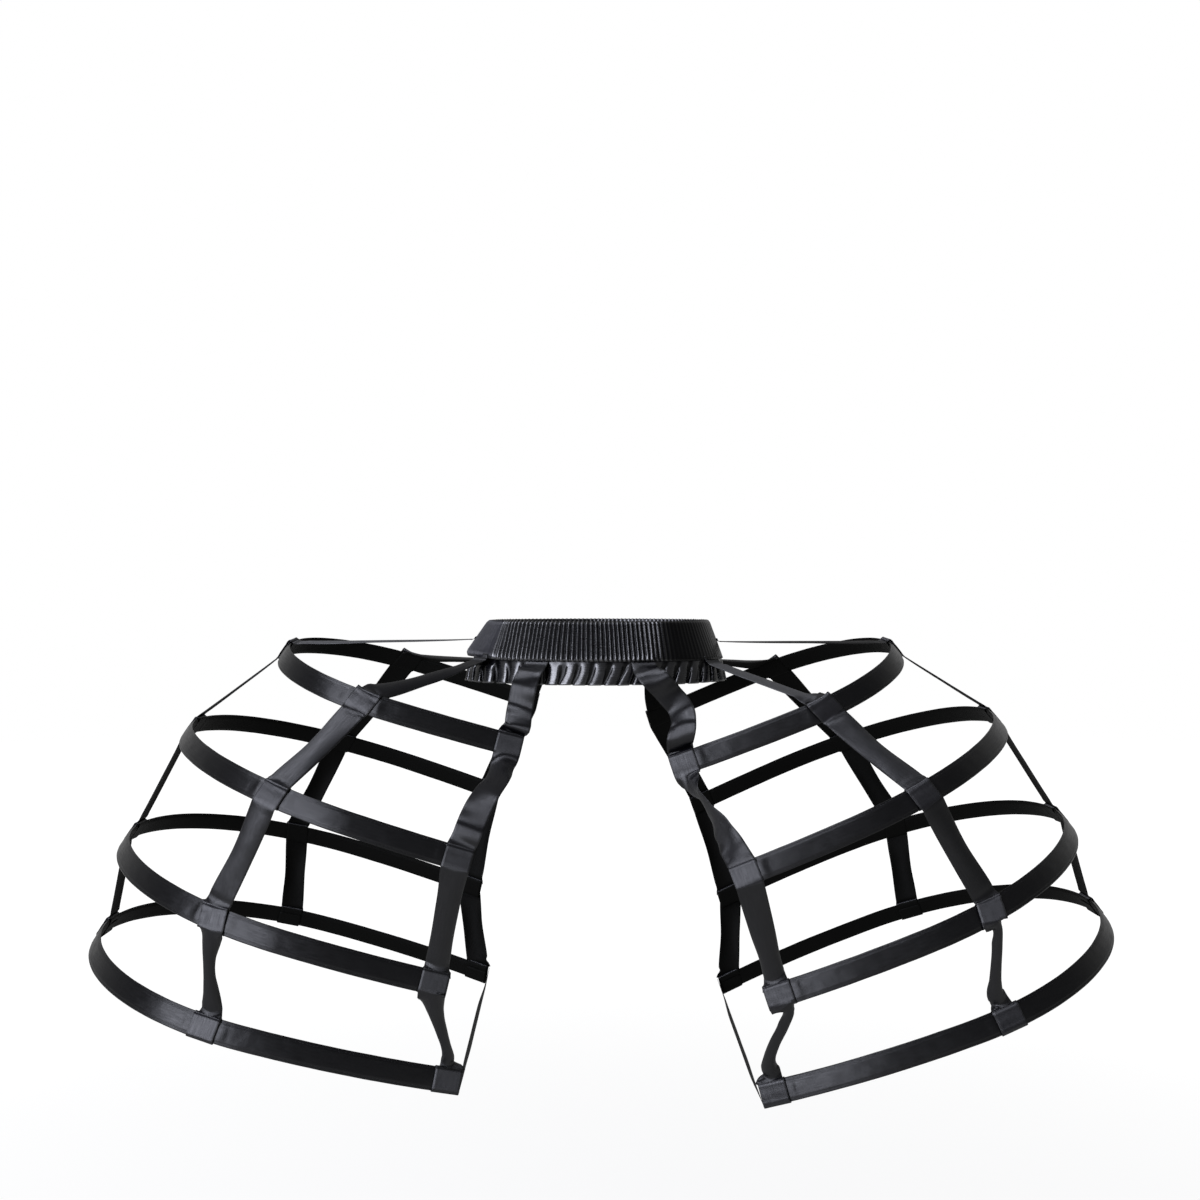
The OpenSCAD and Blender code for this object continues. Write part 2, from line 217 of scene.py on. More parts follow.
@dataclass
class WaistLine:
    """Oval of four tangent arcs that the waistband follows, at the middle of its elastic."""

    width: float = 238.0
    depth: float = 184.0
    turn: float = 50.0
    flare: float = 20.0
    seam: float = -BAND_H / 2
    smoothed: float = 0.9
    panel_facing: float = 193.0
    panel_half: float = 40.0
    panel_flat: float = 22.0
    panel_stand: float = 11.0
    panel_turn_in: float = 0.3
    panel_turn_in_h: float = 4.0
    plain_facing: float = 330.0
    plain_half: float = 42.0
    plain_flat: float = 29.0
    side_r: float = field(init=False)
    front_r: float = field(init=False)
    side_cx: float = field(init=False)
    front_cy: float = field(init=False)

    def __post_init__(self) -> None:
        """Works out the arcs from the width and depth."""
        turn = math.radians(self.turn)
        step = (self.width - self.depth) / 2 / (math.cos(turn) + math.sin(turn) - 1)
        self.side_cx = step * math.cos(turn)
        self.front_cy = step * math.sin(turn)
        self.side_r = self.width / 2 - self.side_cx
        self.front_r = self.side_r + step

    @property
    def quarter(self) -> float:
        """Length of a quarter of the oval."""
        return math.radians(self.turn) * self.side_r + math.radians(90 - self.turn) * self.front_r

    @property
    def length(self) -> float:
        """Length of the whole oval."""
        return 4 * self.quarter

    def quarters(self, along: float) -> float:
        """How many quarters of the oval a distance round it makes."""
        return 4 * along / self.length

    def quarter_facing(self, share: float) -> float:
        """Direction that the oval faces after a share of its first quarter.

        Args:
            share: The share, from 0 to 1.

        Returns:
            The direction from the side, in degrees.
        """
        along = share * self.quarter
        side_length = math.radians(self.turn) * self.side_r
        if along <= side_length:
            return math.degrees(along / self.side_r)
        return self.turn + math.degrees((along - side_length) / self.front_r)

    def facing(self, quarters: float) -> float:
        """Direction that the oval faces after a number of quarters of its length.

        Args:
            quarters: The number of quarters.

        Returns:
            The direction from the side, in degrees.
        """
        whole = math.floor(quarters)
        share = quarters - whole
        if whole % 2 == 0:
            return whole * 90 + self.quarter_facing(share)
        return (whole + 1) * 90 - self.quarter_facing(1 - share)

    def point(self, facing: float, out: float, height: float) -> Vector:
        """A point of the flared band.

        Args:
            facing: Direction from the side, in degrees.
            out: Distance outwards from the middle of the elastic.
            height: Distance up the band from its middle.

        Returns:
            The point in the frame.
        """
        flare = math.radians(self.flare)
        turned = (facing + 180) % 360 - 180
        at_side = abs(turned) <= self.turn or abs(turned) >= 180 - self.turn
        direction = math.radians(facing)
        cos, sin = math.cos(direction), math.sin(direction)
        centre_x = math.copysign(self.side_cx, cos) if at_side else 0.0
        centre_y = 0.0 if at_side else math.copysign(self.front_cy, -sin)
        radius = self.side_r if at_side else self.front_r
        radius += out * math.cos(flare) - height * math.sin(flare)
        z = height * math.cos(flare) + out * math.sin(flare)
        return Vector((centre_x + radius * cos, centre_y + radius * sin, z))

    def panel(self, facing: float) -> float:
        """Share of the smooth, ungathered panel at the front left, from 0 to 1."""
        return 1 - smooth(self.panel_flat, self.panel_half, abs(facing % 360 - self.panel_facing))

    def ungathered(self, facing: float) -> float:
        """Share of either smooth stretch, at the front left or the front right.

        Args:
            facing: Direction from the side, in degrees.

        Returns:
            The share, from 0 to 1.
        """
        away = abs((facing - self.plain_facing + 180) % 360 - 180)
        plain = 1 - smooth(self.plain_flat, self.plain_half, away)
        return max(plain, self.panel(facing))

    def gathered(self, facing: float) -> float:
        """Share of their full height that the gathers have at a place, from 0 to 1."""
        return 1 - self.smoothed * self.ungathered(facing)

    def stand(self, facing: float, height: float) -> float:
        """How far the smooth panel stands off the elastic towards the lower seam.

        Args:
            facing: Direction from the side, in degrees.
            height: Distance up the band from its middle.

        Returns:
            The distance.
        """
        low = (height + self.seam) / (2 * self.seam)
        turned_in = 1 - self.panel_turn_in * (1 - smooth(0, self.panel_turn_in_h, height - self.seam))
        return self.panel_stand * self.panel(facing) * max(0.0, low) * turned_in

    def along(self, facing: float) -> Vector:
        """Direction of the oval, anticlockwise from above."""
        direction = math.radians(facing)
        return Vector((-math.sin(direction), math.cos(direction), 0.0))

    def outward(self, facing: float) -> Vector:
        """Level direction outwards."""
        direction = math.radians(facing)
        return Vector((math.cos(direction), math.sin(direction), 0.0))


@dataclass
class Hoop:
    """One D-shaped hoop: a half-round nose and two gently curved runs, in a plane that rises to the nose."""

    number: int
    reach: float
    inner: float
    nose_r: float
    level: float
    rise: float
    dip: float
    front_quarter: float
    back_quarter: float
    run_r: float = 640.0
    lean: float = 18.0
    roll: float = 2.4
    roll_centre: tuple[float, float] = (300.0, -200.0)

    @property
    def nose_length(self) -> float:
        """Length from the tip of the nose to the start of a run."""
        return self.nose_r * math.pi / 2

    @property
    def half_length(self) -> float:
        """Length from the tip of the nose to an end."""
        end_turn = math.acos((self.inner - self.reach + self.nose_r) / self.run_r)
        return self.nose_length + self.run_r * (end_turn - math.pi / 2)

    def arc(self, along: float) -> tuple[float, float, float, float]:
        """The arc that holds a place on the hoop.

        Args:
            along: Signed distance from the tip of the nose, negative to the front.

        Returns:
            Centre x and y, radius, and the turn from the tip in radians.
        """
        centre_x = self.reach - self.nose_r
        if abs(along) <= self.nose_length:
            return centre_x, 0.0, self.nose_r, along / self.nose_r
        turn = math.pi / 2 + (abs(along) - self.nose_length) / self.run_r
        centre_y = -math.copysign(self.run_r - self.nose_r, along)
        return centre_x, centre_y, self.run_r, math.copysign(turn, along)

    def turned(self, side: Side, v: Vector) -> Vector:
        """Turns a direction in the hoop's own plane into the frame.

        Args:
            side: The basket.
            v: The direction.

        Returns:
            The direction in the frame.
        """
        rise, roll = math.radians(self.rise), math.radians(self.roll)
        v = Matrix.Rotation(-rise, 3, "Y") @ (Matrix.Rotation(math.radians(self.dip), 3, "X") @ v)
        return Matrix.Rotation(-roll, 3, "Y") @ Vector((side * v.x, v.y, v.z))

    def placed(self, side: Side, p: Vector) -> Vector:
        """Places a point of the hoop's own plane in the frame.

        Args:
            side: The basket.
            p: The point.

        Returns:
            The point in the frame.
        """
        centre = Vector((side * self.roll_centre[0], 0.0, self.roll_centre[1]))
        level = Vector((0.0, 0.0, self.level))
        roll = Matrix.Rotation(-math.radians(self.roll), 3, "Y")
        return centre + roll @ (level - centre) + self.turned(side, p)

    def point(self, side: Side, along: float, up: float = 0.0, out: float = 0.0) -> Vector:
        """A point on or near the band.

        Args:
            side: The basket.
            along: Signed distance from the tip of the nose.
            up: Distance up the leaning band from its middle.
            out: Distance outwards from the middle of the bone.

        Returns:
            The point in the frame.
        """
        centre_x, centre_y, radius, turn = self.arc(along)
        lean = math.radians(self.lean)
        radius += out * math.cos(lean) - up * math.sin(lean)
        x = centre_x + radius * math.cos(turn)
        y = centre_y + radius * math.sin(turn)
        return self.placed(side, Vector((x, y, up * math.cos(lean) + out * math.sin(lean))))

    def across(self, side: Side, along: float) -> Vector:
        """Direction of the band, anticlockwise from above on either side."""
        turn = self.arc(along)[3]
        return side * self.turned(side, Vector((-math.sin(turn), math.cos(turn), 0.0)))


WAIST = WaistLine()
# Number, reach, inner end, nose radius, level, rise, dip, and how far each quarter strap is from its end
HOOPS = (
    Hoop(1, 330.0, 70.0, 129.0, -120.0, 19.5, 6.0, 155.0, 155.0),
    Hoop(2, 438.0, 122.0, 205.0, -241.0, 21.0, 0.0, 187.0, 199.0),
    Hoop(3, 503.0, 149.0, 203.0, -357.0, 19.5, 0.0, 215.0, 229.0),
    Hoop(4, 531.0, 142.0, 193.0, -444.0, 17.5, 0.0, 233.0, 245.0),
)


def crossing(place: Place, hoop: Hoop) -> float:
    """Where a strap crosses a hoop.

    Args:
        place: The strap.
        hoop: The hoop.

    Returns:
        Signed distance from the tip of the nose, negative to the front.
    """
    end = hoop.half_length - WRAP_L / 2 - END_GAP
    return {
        Place.FRONT_INNER: -end,
        Place.FRONT_QUARTER: hoop.front_quarter - hoop.half_length,
        Place.SIDE: 0.0,
        Place.BACK_QUARTER: hoop.half_length - hoop.back_quarter,
        Place.BACK_INNER: end,
    }[place]


def waist_facing(side: Side, place: Place) -> float:
    """Direction in which a strap leaves the waist.

    Args:
        side: The basket.
        place: The strap.

    Returns:
        The direction from the side, in degrees.
    """
    fan = WAIST_FAN[min(place, len(Place) - 1 - place)]
    turned = -fan if place < Place.SIDE else fan
    return turned if side is Side.RIGHT else 180 - turned


def run_skew(side: Side, place: Place, above: Hoop, below: Hoop, seat: Hoop) -> float:
    """How far a strap strays along a hoop for each millimetre that it runs down the band's face.

    Args:
        side: The basket.
        place: The strap.
        above: The hoop that the length leaves.
        below: The hoop that it reaches.
        seat: The one of the two whose band it is measured on.

    Returns:
        The skew, held to a turn that a ribbon can lie flat in.
    """
    foot = above.point(side, crossing(place, above), -CASING_W / 2)
    run = below.point(side, crossing(place, below), CASING_W / 2) - foot
    at = crossing(place, seat)
    down = seat.point(side, at, -1.0) - seat.point(side, at)
    along = side * seat.across(side, at)
    return max(-MOST_SKEW, min(MOST_SKEW, run.dot(along) / run.dot(down)))


def patch_skew(side: Side, place: Place, hoop: Hoop) -> float:
    """Skew of a strap's patch on a hoop: it follows the next length, but is 0 at an end and on the last hoop.

    Args:
        side: The basket.
        place: The strap.
        hoop: The hoop under the patch.

    Returns:
        The skew.
    """
    if place.is_inner or hoop.number == len(HOOPS):
        return 0.0
    return run_skew(side, place, hoop, HOOPS[hoop.number], hoop)


# Finishes


def feed(tree: bpy.types.NodeTree, node: bpy.types.Node, inputs: dict[Any, Any]) -> None:
    """Sets sockets of a node.

    Args:
        tree: The node tree.
        node: The node.
        inputs: Socket name or number to a value, or to the socket that feeds it.
    """
    for key, value in inputs.items():
        if isinstance(value, bpy.types.NodeSocket):
            tree.links.new(value, node.inputs[key])
        else:
            node.inputs[key].default_value = value


def add_node(
    tree: bpy.types.NodeTree, kind: str, inputs: dict[Any, Any] | None = None, **settings: Any
) -> bpy.types.Node:
    """Adds a shader node with its settings, socket values and links.

    Args:
        tree: The node tree.
        kind: The node's type, without the words that all shader nodes start with.
        inputs: Socket name or number to a value, or to the socket that feeds it.
        **settings: The node's own properties.

    Returns:
        The node.
    """
    node = tree.nodes.new(f"ShaderNode{kind}")
    for key, value in settings.items():
        setattr(node, key, value)
    feed(tree, node, inputs or {})
    return node


def lines_scale(pitch: float) -> float:
    """Scale of a wave texture whose lines lie a pitch apart."""
    return 2 * math.pi / (WAVE_RATE * pitch * MM)


@dataclass(frozen=True)
class Finish:
    """A finish of the cage: its name, its two colours and how it throws light back."""

    name: str
    colour: str
    second: str
    roughness: float
    specular: float

    def pattern(self, tree: bpy.types.NodeTree) -> Pattern:
        """Adds the nodes of the finish's own pattern.

        Args:
            tree: The material's node tree.

        Returns:
            The share of the second colour, and what the shader's other sockets take.
        """
        raise NotImplementedError

    def material(self) -> bpy.types.Material:
        """Makes the material.

        Returns:
            A material with the finish's values and pattern.
        """
        made = bpy.data.materials.new(self.name)
        made.use_nodes = True
        tree = made.node_tree
        shader = tree.nodes["Principled BSDF"]
        feed(tree, shader, {"Roughness": self.roughness, "Specular IOR Level": self.specular})
        share, sockets = self.pattern(tree)
        colours = {0: share, 6: linear(self.colour), 7: linear(self.second)}
        tint = add_node(tree, "Mix", colours, data_type="RGBA")
        feed(tree, shader, {"Base Color": tint.outputs[2], **sockets})
        return made


@dataclass(frozen=True)
class Satin(Finish):
    """Black polyester satin ribbon, warp-faced: long floats give its face a soft, streaked gloss.

    The second colour is that of its selvedge or, where it is gathered, painted shade in the valleys between
    gathers.
    """

    anisotropy: float
    half_width: float
    thread: float = 0.7
    weave: float = 0.15
    weave_h: float = 0.1
    slub: float = 14.0
    slub_ratio: float = 12.0
    gloss_spread: float = 0.07
    crease: float = 26.0
    crease_depth: float = 0.5
    crease_h: float = 1.6
    selvedge: tuple[float, float] = (0.5, 1.3)
    stitch_inset: float = 0.0
    stitch_pitch: float = 3.2
    stitch_gap: float = 0.22
    stitch_half: float = 0.35
    stitch_h: float = 0.25
    gathered: bool = False
    # Reflection where the valleys between gathers are painted with shade
    valley_shade_specular: float = 0.15
    float_turn: float = 0.25
    ior: float = 1.52

    def stitches(
        self, tree: bpy.types.NodeTree, along: bpy.types.NodeSocket, inset: bpy.types.NodeSocket,
        under: bpy.types.NodeSocket,
    ) -> bpy.types.NodeSocket:
        """Adds a line of lockstitch in matching thread, raised from the cloth.

        Args:
            tree: The node tree.
            along: Distance along the ribbon.
            inset: Distance from its edge.
            under: The cloth's normal.

        Returns:
            The normal with the stitches.
        """
        pitch = self.stitch_pitch * MM
        dash = add_node(tree, "Math", {0: along, 1: pitch / 2}, operation="PINGPONG")
        long_enough = {0: dash.outputs[0], 1: self.stitch_gap * pitch}
        sewn = add_node(tree, "Math", long_enough, operation="GREATER_THAN")
        near = {0: inset, 1: self.stitch_inset * MM, 2: self.stitch_half * MM}
        line = add_node(tree, "Math", near, operation="COMPARE")
        stitch = add_node(tree, "Math", {0: sewn.outputs[0], 1: line.outputs[0]}, operation="MULTIPLY")
        height = {"Height": stitch.outputs[0], "Strength": 0.6, "Distance": self.stitch_h * MM}
        return add_node(tree, "Bump", {**height, "Normal": under}).outputs[0]

    def pattern(self, tree: bpy.types.NodeTree) -> Pattern:
        """Adds floats, slubs, creases and either a selvedge or painted shade between gathers.

        Args:
            tree: The material's node tree.

        Returns:
            The share of the second colour, and what the shader's other sockets take.
        """
        flat = add_node(tree, "UVMap", uv_map=FLAT_MAP).outputs["UV"]
        split = add_node(tree, "SeparateXYZ", {0: flat})
        place = add_node(tree, "TexCoord").outputs["Object"]
        # The floats lie along the ribbon. Real ones are a tenth of a millimetre apart, too fine to show, so
        # they are drawn seven times as coarse.
        threads = add_node(
            tree, "TexWave", {"Vector": flat, "Scale": lines_scale(self.thread), "Distortion": 0.4},
            bands_direction="Y",
        )
        # Slubs are long, thin unevenness in the yarn, which breaks the gloss into streaks
        slub_rate = 1 / (self.slub * MM)
        stretched = add_node(
            tree, "Mapping", {"Vector": flat, "Scale": (slub_rate, self.slub_ratio * slub_rate, 1.0)}
        )
        slubs = add_node(tree, "TexNoise", {"Vector": stretched.outputs[0], "Scale": 1.0, "Detail": 3.0})
        gloss = add_node(
            tree, "MapRange",
            {"Value": slubs.outputs["Fac"], "From Min": 0.3, "From Max": 0.7,
             "To Min": self.roughness - self.gloss_spread, "To Max": self.roughness + self.gloss_spread},
        )
        # Handling leaves shallow creases a few centimetres apart
        creases = add_node(
            tree, "TexNoise",
            {"Vector": place, "Scale": 1 / (self.crease * MM), "Detail": 2.5, "Roughness": 0.55},
        )
        creased = add_node(
            tree, "Bump",
            {"Height": creases.outputs["Fac"], "Strength": self.crease_depth, "Distance": self.crease_h * MM},
        )
        woven = add_node(
            tree, "Bump",
            {"Height": threads.outputs["Fac"], "Strength": self.weave, "Distance": self.weave_h * MM,
             "Normal": creased.outputs[0]},
        )
        # A woven edge is denser, so it takes less light
        width = add_node(tree, "Math", {0: split.outputs["Y"]}, operation="ABSOLUTE")
        inset = add_node(tree, "Math", {0: width.outputs[0], 1: self.half_width * MM}, operation="SUBTRACT")
        inset = add_node(tree, "Math", {0: inset.outputs[0]}, operation="ABSOLUTE")
        dense, loose = self.selvedge
        second = add_node(
            tree, "MapRange",
            {"Value": inset.outputs[0], "From Min": dense * MM, "From Max": loose * MM, "To Min": 1.0,
             "To Max": 0.0},
        )
        sockets = {
            "Roughness": gloss.outputs[0],
            "Normal": woven.outputs[0],
            "Tangent": add_node(tree, "Tangent", direction_type="UV_MAP", uv_map=FLAT_MAP).outputs[0],
            "IOR": self.ior,
            "Anisotropic": self.anisotropy,
            "Anisotropic Rotation": self.float_turn,
        }
        if self.stitch_inset:
            sockets["Normal"] = self.stitches(tree, split.outputs["X"], inset.outputs[0], woven.outputs[0])
        if self.gathered:
            # Deep between two gathers the satin gets next to no light, so there it is painted with shade: the
            # second colour and a weaker reflection
            crest = add_node(tree, "Attribute", attribute_name=FOLD).outputs["Fac"]
            second = add_node(
                tree, "MapRange",
                {"Value": crest, "From Min": 0.0, "From Max": 0.5, "To Min": 1.0, "To Max": 0.0},
            )
            lit = add_node(
                tree, "MapRange",
                {"Value": crest, "From Min": 0.05, "From Max": 0.6, "To Min": self.valley_shade_specular,
                 "To Max": self.specular},
            )
            sockets["Specular IOR Level"] = lit.outputs[0]
        return second.outputs[0], sockets


@dataclass(frozen=True)
class SatinBack(Finish):
    """The dull back of single-face satin: short weft floats scatter the light, so it looks near black."""

    name: str = "satin_back"
    colour: str = "#070706"
    second: str = "#0e0e0c"
    roughness: float = 0.62
    specular: float = 0.07
    thread: float = 0.8
    weave: float = 0.2
    weave_h: float = 0.12
    fleck: float = 2.5

    def pattern(self, tree: bpy.types.NodeTree) -> Pattern:
        """Adds flecks of yarn and the ribs of the weft.

        Args:
            tree: The material's node tree.

        Returns:
            The share of the second colour, and what the shader's other sockets take.
        """
        flat = add_node(tree, "UVMap", uv_map=FLAT_MAP).outputs["UV"]
        # The weft crosses the ribbon, drawn coarser than its real tenth of a millimetre so that it shows
        wefts = add_node(
            tree, "TexWave", {"Vector": flat, "Scale": lines_scale(self.thread), "Distortion": 0.6},
            bands_direction="X",
        )
        flecks = add_node(tree, "TexNoise", {"Vector": flat, "Scale": 1 / (self.fleck * MM)})
        woven = add_node(
            tree, "Bump",
            {"Height": wefts.outputs["Fac"], "Strength": self.weave, "Distance": self.weave_h * MM},
        )
        return flecks.outputs["Fac"], {"Normal": woven.outputs[0]}


@dataclass(frozen=True)
class Boning(Finish):
    """Extruded polyester boning: a matte grey strip with fine drawing lines along it."""

    name: str = "polyester_boning"
    colour: str = "#8d8f92"
    second: str = "#7b7d80"
    roughness: float = 0.5
    specular: float = 0.5
    draw: float = 1.1

    def pattern(self, tree: bpy.types.NodeTree) -> Pattern:
        """Adds the drawing lines.

        Args:
            tree: The material's node tree.

        Returns:
            The share of the second colour, and no other socket.
        """
        place = add_node(tree, "TexCoord").outputs["Object"]
        lines = add_node(
            tree, "TexWave", {"Vector": place, "Scale": lines_scale(self.draw), "Distortion": 1.5},
            bands_direction="Z",
        )
        return lines.outputs["Fac"], {}


@dataclass(frozen=True)
class WovenElastic(Finish):
    """Black woven elastic: rubber cores under a ribbed cotton cover, dull and finely barred."""

    name: str = "woven_elastic"
    colour: str = "#1b1b1d"
    second: str = "#0f0f10"
    roughness: float = 0.8
    specular: float = 0.2
    rib_pitch: float = 1.5
    rib_h: float = 0.3

    def pattern(self, tree: bpy.types.NodeTree) -> Pattern:
        """Adds the ribs.

        Args:
            tree: The material's node tree.

        Returns:
            The share of the second colour, and what the shader's other sockets take.
        """
        place = add_node(tree, "TexCoord").outputs["Object"]
        ribs = add_node(
            tree, "TexWave", {"Vector": place, "Scale": lines_scale(self.rib_pitch)}, bands_direction="Z"
        )
        raised = add_node(
            tree, "Bump", {"Height": ribs.outputs["Fac"], "Strength": 0.5, "Distance": self.rib_h * MM}
        )
        return ribs.outputs["Fac"], {"Normal": raised.outputs[0]}


CASING_SATIN = Satin(
    "casing_satin", "#09090b", "#050506", 0.38, 0.45, 0.85, CASING_W / 2, stitch_inset=2.0, crease_depth=0.25
)
STRAP_SATIN = Satin("strap_satin", "#0a0a0d", "#060607", 0.42, 0.55, 0.92, STRAP_W / 2, crease_depth=0.3)
# The wraps' satin is a lighter copy of the strap satin, as painted light on the wraps and patches
WRAP_SATIN_LIT = Satin("wrap_satin", "#0e0e13", "#09090c", 0.45, 0.8, 0.95, WRAP_L / 2, crease_depth=0.3)
# The strip's and the frill's edges are sewn in, so neither shows a selvedge
NO_SELVEDGE = 500.0
# The gathered satin's second colour is painted shade for the valleys between gathers and folds
GATHERED_SATIN = Satin(
    "gathered_satin", "#0d0d11", "#040405", 0.3, 1.0, 0.5, NO_SELVEDGE, crease=14.0, crease_depth=0.15,
    weave=0.02, gathered=True, ior=1.7,
)
# Where the strip lies smooth, its floats run up and down and catch light from far aside. Its colour is also
# painted lighter than the gathers', as painted light on the panel.
PANEL_SATIN_LIT = Satin(
    "panel_satin", "#121219", "#121219", 0.7, 1.0, 0.95, NO_SELVEDGE, crease=14.0, crease_depth=0.4,
    float_turn=0.0,
)


# Cloth


@dataclass
class Sheet:
    """A flat cut of cloth, with the size of its mesh cells along and across it."""

    length: float
    width: float
    cell_along: float
    cell_across: float

    def lay(
        self, mesh: bmesh.types.BMesh, place: Placer, map_from: float = 0.0, crest: Crest | None = None,
        slot: Slot | None = None,
    ) -> None:
        """Cuts the sheet as a grid, marks its flat map and lays each corner where it goes.

        The three functions are given a distance along the sheet and a distance from its middle line.

        Args:
            mesh: The mesh that the sheet is cut in.
            place: Gives the point for a corner.
            map_from: Where this cut starts along the piece's flat map.
            crest: Gives how far a corner stands out of its fold, from 0 to 1, if the sheet is gathered; the
            gathered satin paints shade where it is low.
            slot: Gives the number of a face's finish by its middle, if the sheet has more than one.
        """
        flat_map = mesh.loops.layers.uv.get(FLAT_MAP) or mesh.loops.layers.uv.new(FLAT_MAP)
        folds = mesh.verts.layers.float.new(FOLD) if crest else None
        steps_along = max(2, round(self.length / self.cell_along))
        steps_across = max(2, round(self.width / self.cell_across))
        grid = bmesh.ops.create_grid(mesh, x_segments=steps_along, y_segments=steps_across, size=0.5)
        corners = grid["verts"]
        for face in {face for corner in corners for face in corner.link_faces}:
            if slot:
                middle = face.calc_center_median()
                face.material_index = slot((middle.x + 0.5) * self.length, middle.y * self.width)
            for loop in face.loops:
                along = map_from + (loop.vert.co.x + 0.5) * self.length
                loop[flat_map].uv = (along * MM, loop.vert.co.y * self.width * MM)
        for corner in corners:
            along, aside = (corner.co.x + 0.5) * self.length, corner.co.y * self.width
            if crest:
                corner[folds] = crest(along, aside)
            corner.co = place(along, aside)


@dataclass(frozen=True)
class Declared:
    """A sewn piece's cut, how it is held and what it stands for, of which only its node and cut are used."""

    node: str
    slot: str
    flat: tuple[float, float]
    held: Hold
    rests_on: tuple[str, ...]

    def finish(
        self, mesh: bmesh.types.BMesh, finishes: Sequence[bpy.types.Material], thickness: float = 0.0
    ) -> bpy.types.Object:
        """Turns a laid mesh into a piece of the cage.

        Args:
            mesh: The mesh, in millimetres.
            finishes: The face's materials, and the back's last.
            thickness: Thickness of the cloth, or 0 where the mesh is closed.

        Returns:
            The piece.
        """
        bmesh.ops.scale(mesh, vec=(MM, MM, MM), verts=mesh.verts)
        for face in mesh.faces:
            face.smooth = True
        name = f"{self.node}_satin"
        piece = put_mesh(name, mesh)
        for finish in finishes:
            piece.data.materials.append(finish)
        if thickness:
            cloth = piece.modifiers.new("cloth", "SOLIDIFY")
            cloth.thickness = thickness * MM
            cloth.offset = 0.0
            cloth.material_offset = len(finishes) - 1
        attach(piece, ROOT)
        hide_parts(self.node)
        width, length = self.flat
        list(self.rests_on)
        LOG.info("%s: %d faces, cut %.0f by %.0f mm", name, len(piece.data.polygons), width, length)
        return piece


@dataclass(frozen=True)
class Stop:
    """One place on a ribbon's way: its middle, the direction of its width and how far its edges curl in."""

    at: Vector
    across: Vector
    curl: float = 0.0


class Route:
    """The smooth way that a ribbon takes through its stops."""

    SPAN_STEPS = 14

    def __init__(self, stops: Sequence[Stop], half_width: float) -> None:
        """Samples the way.

        Args:
            stops: The stops, from the top down.
            half_width: Half of the ribbon's width.
        """
        self.half_width = half_width
        knots = [0.0]
        for before, after in zip(stops, stops[1:]):
            knots.append(knots[-1] + (after.at - before.at).length)
        points = [stop.at for stop in stops]
        rolls = [stop.curl for stop in stops]
        self.centres: list[Vector] = []
        self.acrosses: list[Vector] = []
        self.curls: list[float] = []
        for i in range(len(stops) - 1):
            last = i == len(stops) - 2
            for step in range(self.SPAN_STEPS + (1 if last else 0)):
                t = step / self.SPAN_STEPS
                self.centres.append(self.between(points, knots, i, t))
                self.curls.append(max(0.0, self.between(rolls, knots, i, t)))
                turned = stops[i].across.lerp(stops[i + 1].across, smooth(0, 1, t))
                self.acrosses.append(turned.normalized())
        self.lengths = [0.0]
        for before, after in zip(self.centres, self.centres[1:]):
            self.lengths.append(self.lengths[-1] + (after - before).length)

    @staticmethod
    def heading(values: Sequence[Any], knots: Sequence[float], i: int) -> Any:
        """How fast a value changes at a knot.

        Args:
            values: The value at each knot.
            knots: Distance of each knot along the way.
            i: The knot's number.

        Returns:
            The change for each millimetre.
        """
        if i == 0:
            return (values[1] - values[0]) / (knots[1] - knots[0])
        if i == len(values) - 1:
            return (values[i] - values[i - 1]) / (knots[i] - knots[i - 1])
        before, after = knots[i] - knots[i - 1], knots[i + 1] - knots[i]
        came = (values[i] - values[i - 1]) / before
        goes = (values[i + 1] - values[i]) / after
        return (came * after + goes * before) / (before + after)

    @classmethod
    def between(cls, values: Sequence[Any], knots: Sequence[float], i: int, t: float) -> Any:
        """A value between two knots, on a cubic through them all.

        Args:
            values: The value at each knot.
            knots: Distance of each knot along the way.
            i: Number of the knot before.
            t: Share of the way to the next.

        Returns:
            The value.
        """
        rest, span = 1 - t, knots[i + 1] - knots[i]
        leave, arrive = cls.heading(values, knots, i), cls.heading(values, knots, i + 1)
        bend = values[i] * (rest * rest * (1 + 2 * t)) + values[i + 1] * (t * t * (3 - 2 * t))
        return bend + (leave * (t * rest * rest) - arrive * (t * t * rest)) * span

    @property
    def length(self) -> float:
        """Length of the way."""
        return self.lengths[-1]

    def reached(self, stop: int) -> float:
        """Length of the way as far as one of its stops."""
        return self.lengths[stop * self.SPAN_STEPS]

    def place(self, along: float, aside: float) -> Vector:
        """Lays a point of the ribbon.

        Args:
            along: Distance along the ribbon.
            aside: Distance from its middle line.

        Returns:
            The point.
        """
        i = min(max(bisect_right(self.lengths, along) - 1, 0), len(self.lengths) - 2)
        share = (along - self.lengths[i]) / max(self.lengths[i + 1] - self.lengths[i], 1e-9)
        centre = self.centres[i].lerp(self.centres[i + 1], share)
        before, after = max(i - 1, 0), min(i + 2, len(self.centres) - 1)
        heading = (self.centres[after] - self.centres[before]).normalized()
        across = self.acrosses[i].lerp(self.acrosses[i + 1], share)
        across = (across - heading * across.dot(heading)).normalized()
        outward = heading.cross(across)
        curl = math.radians(self.curls[i] + (self.curls[i + 1] - self.curls[i]) * share)
        if abs(curl) < 1e-3:
            return centre + across * aside
        radius = self.half_width / curl
        angle = aside / radius
        return centre + across * (radius * math.sin(angle)) - outward * (radius * (1 - math.cos(angle)))


# Pieces


